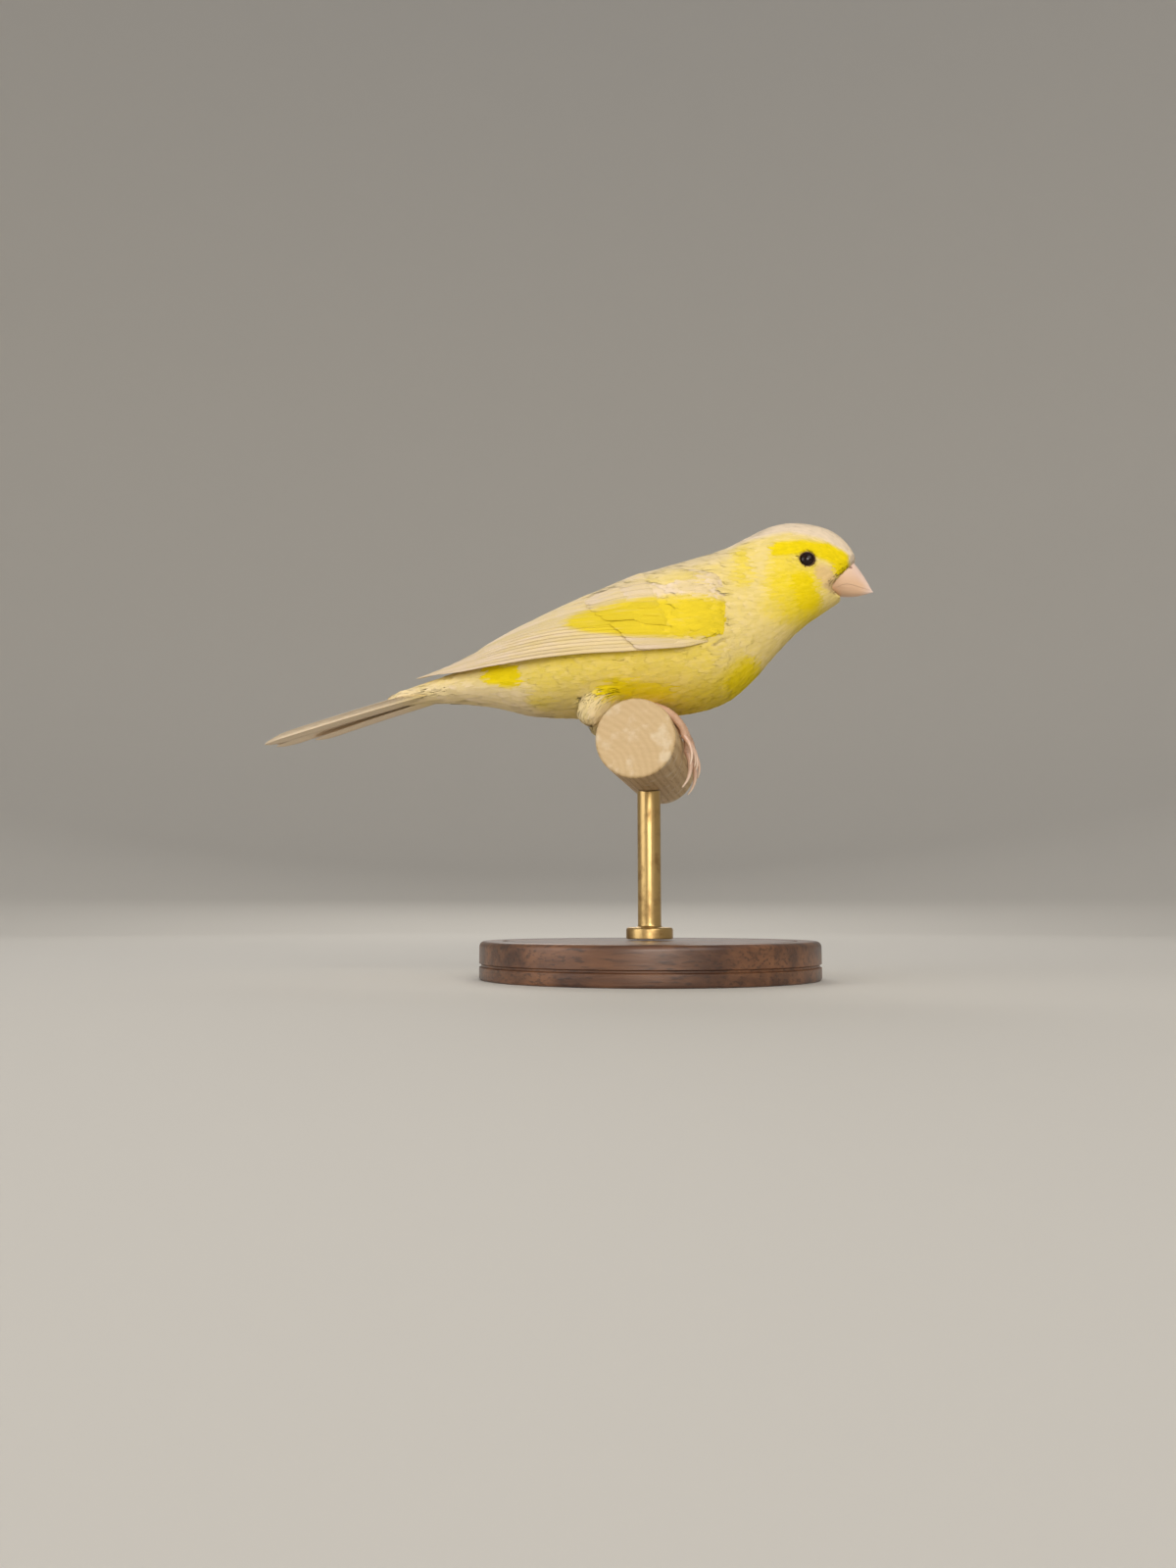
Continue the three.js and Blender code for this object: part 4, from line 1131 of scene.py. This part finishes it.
def bill_half(upper, rings=60, arc=34, floor_points=8):
    """One half of the bill: its outer curve, closed by a flat along the mouth."""
    t = (1 - (1 - np.linspace(0, 1, rings)) ** 1.4)[:, None]
    flare = BILL["flare"] * (1 - t / BILL["flare_length"]).clip(0) ** 2
    past_ridge = (t - BILL["ridge"]).clip(0) / (1 - BILL["ridge"])
    up = (BILL["up"] * (1 - past_ridge ** 1.25)).clip(BILL["tip"])
    down = (BILL["down"] * (1 - t ** 2.6)).clip(BILL["tip"]) + 0.5 * flare
    half = (BILL["half"] * (1 - t ** 1.8)).clip(BILL["tip"]) + flare
    world_x = np.linspace(36, 50, 200)
    world_z = np.interp(world_x, MOUTH["x"], MOUTH["z"])
    soft = np.convolve(np.pad(world_z, 16, "edge"), np.ones(33) / 33, "valid") - BILL["z"]
    local_u = (world_x - BILL["x"]) * math.cos(bill_drop) - soft * math.sin(bill_drop)
    local_w = (world_x - BILL["x"]) * math.sin(bill_drop) + soft * math.cos(bill_drop)
    level = np.interp(t * BILL["length"], local_u, local_w) + (MOUTH["gap"] if upper else -MOUTH["gap"])
    reach = np.where(level > 0, up, down)
    start = np.arcsin((level / reach).clip(-0.98, 0.98))
    run = np.linspace(0, 1, arc)[None, :]
    if upper:
        a = start + (np.pi - 2 * start) * run
    else:
        a = np.pi - start + (np.pi + 2 * start) * run
    y = half * np.cos(a) * (1 if upper else 0.97)
    y = y * (1 - 0.14 * np.sin(a).clip(0) ** 2)
    w = np.where(np.sin(a) > 0, up, down) * np.sin(a)
    across = np.linspace(0, 1, floor_points + 2)[None, 1:-1]
    floor_y = y[:, -1:] + (y[:, :1] - y[:, -1:]) * across
    hollow = MOUTH["hollow"] * half * np.sin(np.pi * across) * (1 - 0.6 * t)
    floor_w = w[:, :1] + (w[:, -1:] - w[:, :1]) * across + (hollow if upper else -hollow)
    y = np.hstack([y, floor_y])
    w = np.hstack([w, floor_w])
    u = t * BILL["length"] + 0 * y
    x = BILL["x"] + u * math.cos(bill_drop) + w * math.sin(bill_drop)
    z = BILL["z"] - u * math.sin(bill_drop) + w * math.cos(bill_drop)
    if upper:
        pit = smooth(from_nostril(x, z), NOSTRIL["radius"], 0.2)
        y = y - np.sign(y) * pit * NOSTRIL["deep"] * (np.abs(y) > 1)
    points, faces = capped(xyz(x, y, z))
    # How far up its curve each point is; the finish paints the upper faces paler, a painted highlight.
    high = np.hstack([np.sin(a).clip(0), 0 * floor_y])
    return points, faces, np.append(high, [0, 0]), np.append(t + 0 * y, [0, 1])


bill_finish = Finish("bill", Roughness=0.36, Coat_Weight=0.2, Coat_Roughness=0.25)
high = bill_finish.read("high")
tipwards = bill_finish.read("tipwards")
# Painted highlight: the horn's upper faces are painted paler, as if lit from above.
horn = bill_finish.mix(bill_finish.turn(high, 0.05, 0.85), srgb(226, 188, 152), srgb(244, 216, 200))
horn = bill_finish.mix(bill_finish.turn(tipwards, 0.7, 1.0), horn, srgb(238, 214, 200))
# Painted shade: the nostril's pit is painted dark brown.
horn = bill_finish.mix(bill_finish.read("pit"), horn, srgb(96, 58, 44))
streaks = bill_finish.noise(700, 3, (0.35, 1, 1))
bill_finish.vary("Base Color", bill_finish.mix(streaks * 0.35, horn, srgb(206, 160, 128)))
bill_finish.bump(bill_finish.noise(1500, 3, (0.3, 1, 1)), 0.00006)
for upper, name in ((True, "bill_upper"), (False, "bill_lower")):
    points, faces, height, far = bill_half(upper)
    horn_piece = new_piece(f"{name}_horn", points, faces)
    horn_piece.data.set_sharp_from_angle(angle=math.radians(40))
    # The nostril's painted shade, darkest in its pit.
    dark = upper * smooth(from_nostril(points[:, 0], points[:, 2]), NOSTRIL["dark"], 0.25)
    tag(horn_piece, high=height, tipwards=far, pit=dark)
    bill_finish.wear(horn_piece)
    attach(horn_piece, "root")
    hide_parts(name)

# Legs and feet
# Bare scaled legs come out of the belly's feathers. Three toes of each foot go over the front of the
# dowel and one round behind, each with a curved claw whose tip stands a little off the wood.
PERCH = {"radius": 8.0, "front": -24.0, "back": 30.0, "height": 48.0, "bevel": 0.7}
FOOT = {
    "y": 7.2, "ball": 84, "off": 0.32, "heel_x": -11.3, "heel_z": 58, "heel_out": 0.6, "shin": 1.3,
    "ankle_off": 1.3,
}
LIMB_SIDES = 16
CLAW_SIDES = 14
SCUTE = {"leg": 1.3, "toe": 0.85}  # how long a scale is
TOES = [
    {"sweep": -90, "claw": -40, "splay": 0.4, "radius": 1.0, "lift": 2.2},
    {"sweep": -72, "claw": -34, "splay": 4.4, "radius": 0.92, "lift": 1.6},
    {"sweep": -68, "claw": -34, "splay": -3.8, "radius": 0.92, "lift": 1.6},
    {"sweep": 64, "claw": 30, "splay": -0.8, "radius": 1.0, "lift": 0.5},
]


def round_perch(angle, off, y):
    """Points round the dowel, at an angle in degrees from the front and a distance off its face."""
    r = PERCH["radius"] + off
    angle = np.radians(angle)
    return xyz(r * np.cos(angle), y, PERCH["height"] + r * np.sin(angle))


def tube(line, radii, sides, over=(0.0, 1.0, 0.0)):
    """A round tube along a line. radii has one number, or one for each side, at each point; over is
    the way that its first side faces."""
    way = np.gradient(line, axis=0)
    way /= np.linalg.norm(way, axis=1, keepdims=True)
    side = np.cross(over, way)
    side /= np.linalg.norm(side, axis=1, keepdims=True)
    up = np.cross(way, side)
    a = all_round(sides)[None, :]
    r = np.reshape(radii, (len(line), -1))
    out = side[:, None, :] * (r * np.cos(a))[..., None] + up[:, None, :] * (r * np.sin(a))[..., None]
    return capped(line[:, None, :] + out, line[[0, -1]])


def along_tube(values, sides, ends=(0, 0)):
    """A number at each step of a tube's line as one at each of its points."""
    return np.append(np.repeat(values, sides), ends)


def scaled(length, radius, scute, taper):
    """Steps along a leg or toe of that length, and its radii: broad scutes step down its top, and its
    sole is plump between the joints."""
    steps = max(int(length / 0.14), 12)
    t = np.linspace(0, 1, steps)[:, None]
    a = all_round(LIMB_SIDES)[None, :]
    top = np.cos(a).clip(0)
    sole = (-np.cos(a)).clip(0)
    step = (t * length / scute) % 1
    relief = 0.1 * top * (step ** 2 - 0.3) + 0.13 * sole * np.cos(6 * np.pi * t) + 0.015 * np.cos(5 * a)
    return t[:, 0], radius * (1 - taper * t) * (1 + relief)


foot_finish = Finish("foot_skin", Roughness=0.5)
flesh = foot_finish.mix(foot_finish.noise(1200, 3), srgb(214, 178, 152), srgb(190, 150, 124))
creases = foot_finish.turn(foot_finish.read("crease"), 0.75, 1.0)
foot_finish.vary("Base Color", foot_finish.mix(creases * 0.6, flesh, srgb(168, 120, 98)))
foot_finish.bump(foot_finish.noise(3500, 2), 0.00006)
claw_finish = Finish("claw", Roughness=0.3, Coat_Weight=0.2)
nail = claw_finish.mix(claw_finish.read("tipwards") ** 1.5, srgb(214, 172, 146), srgb(236, 214, 192))
claw_finish.vary("Base Color", nail)
claw_finish.bump(claw_finish.noise(2500, 2, (1, 0.3, 1)), 0.00004)
for side, hand in HANDS:
    limbs, claws, crease, tipwards = [], [], [], []
    heel = np.array([FOOT["heel_x"], side * (FOOT["y"] + FOOT["heel_out"]), FOOT["heel_z"]])
    ankle = round_perch(FOOT["ball"], FOOT["off"] + FOOT["ankle_off"], side * FOOT["y"])
    shin_long = float(np.linalg.norm(ankle - heel))
    t, radii = scaled(shin_long, FOOT["shin"], SCUTE["leg"], 0.1)
    line = heel + (ankle - heel) * t[:, None] + np.array([0, 0, 0.5]) * np.sin(np.pi * t)[:, None]
    limbs.append(tube(line, radii, LIMB_SIDES))
    crease.append(along_tube((t * shin_long / SCUTE["leg"]) % 1, LIMB_SIDES))
    for toe in TOES:
        toe_long = math.radians(abs(toe["sweep"])) * (PERCH["radius"] + toe["radius"])
        t, radii = scaled(toe_long, toe["radius"], SCUTE["toe"], 0.2)
        angle = FOOT["ball"] + toe["sweep"] * t
        line = round_perch(angle, FOOT["off"] + radii.mean(axis=1), side * (FOOT["y"] + toe["splay"] * t))
        outward = line - np.array([0, 0, PERCH["height"]])
        outward[:, 1] = 0
        limbs.append(tube(line, radii, LIMB_SIDES, np.cross(np.gradient(line, axis=0), outward)))
        crease.append(along_tube((t * toe_long / SCUTE["toe"]) % 1, LIMB_SIDES))
        t = np.linspace(-0.12, 1, 26)
        angle = FOOT["ball"] + toe["sweep"] + toe["claw"] * t
        t = t.clip(0)
        off = FOOT["off"] + toe["radius"] * 0.8 + toe["lift"] * np.sin(np.pi / 2 * t)
        line = round_perch(angle, off, side * (FOOT["y"] + toe["splay"] * (1 + 0.15 * t)))
        claws.append(tube(line, toe["radius"] * 0.56 * (1 - t) ** 0.7 + 0.09, CLAW_SIDES))
        tipwards.append(along_tube(t, CLAW_SIDES, (0, 1)))
    foot = new_piece(f"toes_{hand}", *joined(limbs))
    tag(foot, crease=np.concatenate(crease))
    foot_finish.wear(foot)
    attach(foot, "root")
    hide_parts(f"foot_{hand}")
    nails = new_piece(f"claws_{hand}", *joined(claws))
    tag(nails, tipwards=np.concatenate(tipwards))
    claw_finish.wear(nails)
    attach(nails, "root")

# Dowel
# A short length of plain wooden dowel, sawn square at both ends, its edges rubbed round. The ends
# show the rings and pores of the wood, and the side its long grain.
DOWEL = {"sides": 160, "centre": 0.4, "pith": (-0.009, 0.041), "ring": 0.0013}  # the last two in metres


def turned(name, profile, sides, place):
    """A piece turned on a lathe from its outline of radii and heights, closed at both ends and shaded
    sharp over its edges."""
    a = all_round(sides)[None, :]
    r, h = (np.array(v)[:, None] for v in zip(*profile))
    points = place(r * np.cos(a), r * np.sin(a), h).reshape(-1, 3)
    made = new_piece(name, points, drum(len(profile), sides))
    made.data.set_sharp_from_angle(angle=math.radians(35))
    return made


def rounded(corner, radius, start, end, steps=7):
    """The outline of a rounded corner: an arc about a centre, between two angles in degrees."""
    arc = np.radians(np.linspace(start, end, steps))
    return [(corner[0] + radius * math.cos(a), corner[1] + radius * math.sin(a)) for a in arc]


edge = PERCH["bevel"]
flat = PERCH["radius"] - edge
profile = [(r, PERCH["front"]) for r in np.linspace(DOWEL["centre"], flat, 12)]
profile += rounded((flat, PERCH["front"] + edge), edge, -90, 0)[1:]
side_steps = np.linspace(PERCH["front"] + edge, PERCH["back"] - edge, 50)[1:]
profile += [(PERCH["radius"], y) for y in side_steps]
profile += rounded((flat, PERCH["back"] - edge), edge, 0, 90)[1:]
profile += [(r, PERCH["back"]) for r in np.linspace(flat, DOWEL["centre"], 12)[1:]]
dowel = turned("dowel", profile, DOWEL["sides"], lambda u, v, h: xyz(u, h, PERCH["height"] - v))
wood = Finish("dowel_wood", Roughness=0.7)
place = wood.place()
x, z = (wood.node("ShaderNodeSeparateXYZ", None, {0: place}, out=axis) for axis in ("X", "Z"))
x = x - DOWEL["pith"][0]
z = z - DOWEL["pith"][1]
wobble = wood.noise(160, 2, (1, 0.08, 1))
from_pith = (x * x + z * z) ** 0.5 + wobble * 0.002
rings = (from_pith * (2 * math.pi / DOWEL["ring"])).maths("SINE") * 0.5 + 0.5
pores = wood.turn(wood.noise(3800, 1, (1, 0.04, 1)), 0.6, 0.7)
pale_wood = wood.mix(rings ** 2 * 0.6, srgb(208, 178, 130), srgb(180, 144, 96))
pale_wood = wood.mix(pores * 0.45, pale_wood, srgb(160, 118, 74))
facing = wood.node("ShaderNodeNewGeometry", out="Normal")
endwise = wood.turn(abs(wood.node("ShaderNodeSeparateXYZ", None, {0: facing}, out="Y")), 0.7, 0.95)
sawn = wood.noise(900, 3, (0.25, 1, 1.6))
end_wood = wood.mix(rings * 0.22 + sawn * 0.4, srgb(208, 180, 136), srgb(186, 154, 108))
worn = wood.turn(wood.noise(260, 4), 0.52, 0.7)
toned = wood.mix(endwise, pale_wood, end_wood)
wood.vary("Base Color", wood.mix(worn * 0.35, toned, srgb(238, 226, 200)))
wood.bump(wood.noise(1600, 3, (1, 0.06, 1)) - pores * (1 - endwise) * 0.6 + sawn * endwise * 0.8, 0.00009)
wood.wear(dowel)
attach(dowel, "root")
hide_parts("perch")

# Stand
# A dark turned disc of wood with a rounded upper edge and a fine scribed line, and a brass rod with a
# collar that comes up under the dowel.
BASE = {"radius": 36.0, "height": 8.0, "round": 1.2, "foot": 0.6, "bead": 0.45, "line": 0.3}
ROD = {"radius": 2.5, "collar": 5.0, "collar_height": 2.5, "y": 1.0, "gap": 0.3, "seat_gap": 0.25}
rim, top = BASE["radius"], BASE["height"]
bead = rim - BASE["bead"]
line = top - BASE["line"]
profile = [(0.5, 0), (18, 0), (34, 0)]
profile += rounded((rim - BASE["foot"], BASE["foot"]), BASE["foot"], -90, 0, 5)
profile += [(rim, 2.2), (rim, 2.6), (bead, 2.85), (bead, 3.15), (rim, 3.4), (rim, 4.5)]
profile += rounded((rim - BASE["round"], top - BASE["round"]), BASE["round"], 0, 90, 9)
profile += [(31.2, top), (31.0, line), (30.6, line), (30.4, top), (22, top), (12, top), (0.5, top)]
base = turned("stand_disc", profile, 192, xyz)
dark = Finish("stand_wood", Roughness=0.42, Coat_Weight=0.35, Coat_Roughness=0.25)
grain = dark.noise(220, 5, (0.1, 1, 1))
fine = dark.noise(1500, 3, (0.05, 1, 1))
walnut = dark.mix(dark.turn(grain, 0.35, 0.7), srgb(74, 45, 28), srgb(124, 82, 52))
dark.vary("Base Color", dark.mix(dark.turn(fine, 0.5, 0.68) * 0.6, walnut, srgb(46, 27, 17)))
dark.vary("Roughness", 0.36 + grain * 0.16)
dark.bump(fine, 0.00006)
dark.wear(base)
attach(base, "root")
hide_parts("stand_base")

foot = BASE["height"] + ROD["gap"]
shoulder = foot + ROD["collar_height"]
profile = [(0.3, foot), (3, foot), (ROD["collar"] - 0.2, foot), (ROD["collar"], foot + 0.2)]
profile += rounded((ROD["collar"] - 0.6, shoulder - 0.6), 0.6, 0, 90, 6)
profile += rounded((ROD["radius"] + 0.5, shoulder + 0.5), 0.5, 270, 180, 5)
profile += [(ROD["radius"], z) for z in np.linspace(shoulder + 1, PERCH["height"] - 9, 30)]
profile += [(r, PERCH["height"] - PERCH["radius"]) for r in (ROD["radius"], 0.3)]


def up_rod(u, v, z):
    """The rod's top follows the underside of the dowel, so that it meets the wood all round."""
    seat = PERCH["height"] - np.sqrt((PERCH["radius"] + ROD["seat_gap"]) ** 2 - u ** 2)
    return xyz(u, v + ROD["y"], np.minimum(z, seat))


rod = turned("stand_pillar", profile, 96, up_rod)
brass = Finish("brass", Metallic=1.0, Roughness=0.28)
tarnish = brass.turn(brass.noise(350, 5), 0.45, 0.75)
brass.vary("Base Color", brass.mix(tarnish, srgb(202, 170, 112), srgb(158, 126, 80)))
brass.vary("Roughness", 0.32 + 0.16 * tarnish)
brass.bump(brass.noise(2600, 2, (1, 1, 0.03)), 0.00003)
brass.wear(rod)
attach(rod, "root")
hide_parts("stand_rod")

# Floor, backdrop and lights
# A plain pale table that curves up into a pale wall all round, under soft studio lights.
BOWL = [(700, 0), (1000, 30), (1250, 160), (1420, 420), (1500, 800), (1500, 1500)]  # radii and heights
BOWL_SIDES = 96
turn = all_round(BOWL_SIDES)
bowl_points = [(r * math.cos(a), r * math.sin(a), z) for r, z in BOWL for a in turn] + [(0, 0, 0)]
bowl_faces = quads_of(len(BOWL), BOWL_SIDES)[:, ::-1].tolist()
bowl_faces += [[len(bowl_points) - 1, j, (j + 1) % BOWL_SIDES] for j in range(BOWL_SIDES)]
bowl = new_piece("floor", bowl_points, bowl_faces)
bowl_finish = Finish("floor", Roughness=0.85, Base_Color=srgb(214, 209, 200))
bowl_finish.wear(bowl)

LIGHTS = [
    {"name": "key", "place": (420, -660, 560), "size": 600, "power": 2.35, "colour": (1, 0.97, 0.92)},
    {"name": "fill", "place": (-650, -450, 260), "size": 600, "power": 2.2, "colour": (0.97, 0.98, 1)},
    {"name": "back", "place": (-150, 700, 560), "size": 500, "power": 2.1, "colour": (1, 0.98, 0.95)},
    {"name": "front", "place": (180, -1100, 300), "size": 480, "power": 5.6, "colour": (1, 0.97, 0.93)},
]
AIM = Vector((0, 0, 70))
for light in LIGHTS:
    lamp = bpy.data.lights.new(light["name"], "AREA")
    lamp.size = light["size"] * MM
    lamp.energy = light["power"]
    lamp.color = light["colour"]
    holder = bpy.data.objects.new(light["name"], lamp)
    holder.location = Vector(light["place"]) * MM
    holder.visible_camera = False
    holder.rotation_euler = (AIM - Vector(light["place"])).to_track_quat("-Z", "Y").to_euler()
    bpy.context.scene.collection.objects.link(holder)
world = bpy.data.worlds.new("world")
world.use_nodes = True
sky = world.node_tree.nodes["Background"].inputs
sky["Color"].default_value = (0.9, 0.93, 1, 1)
sky["Strength"].default_value = 0.35
bpy.context.scene.world = world
bpy.context.scene.view_settings.view_transform = "Standard"
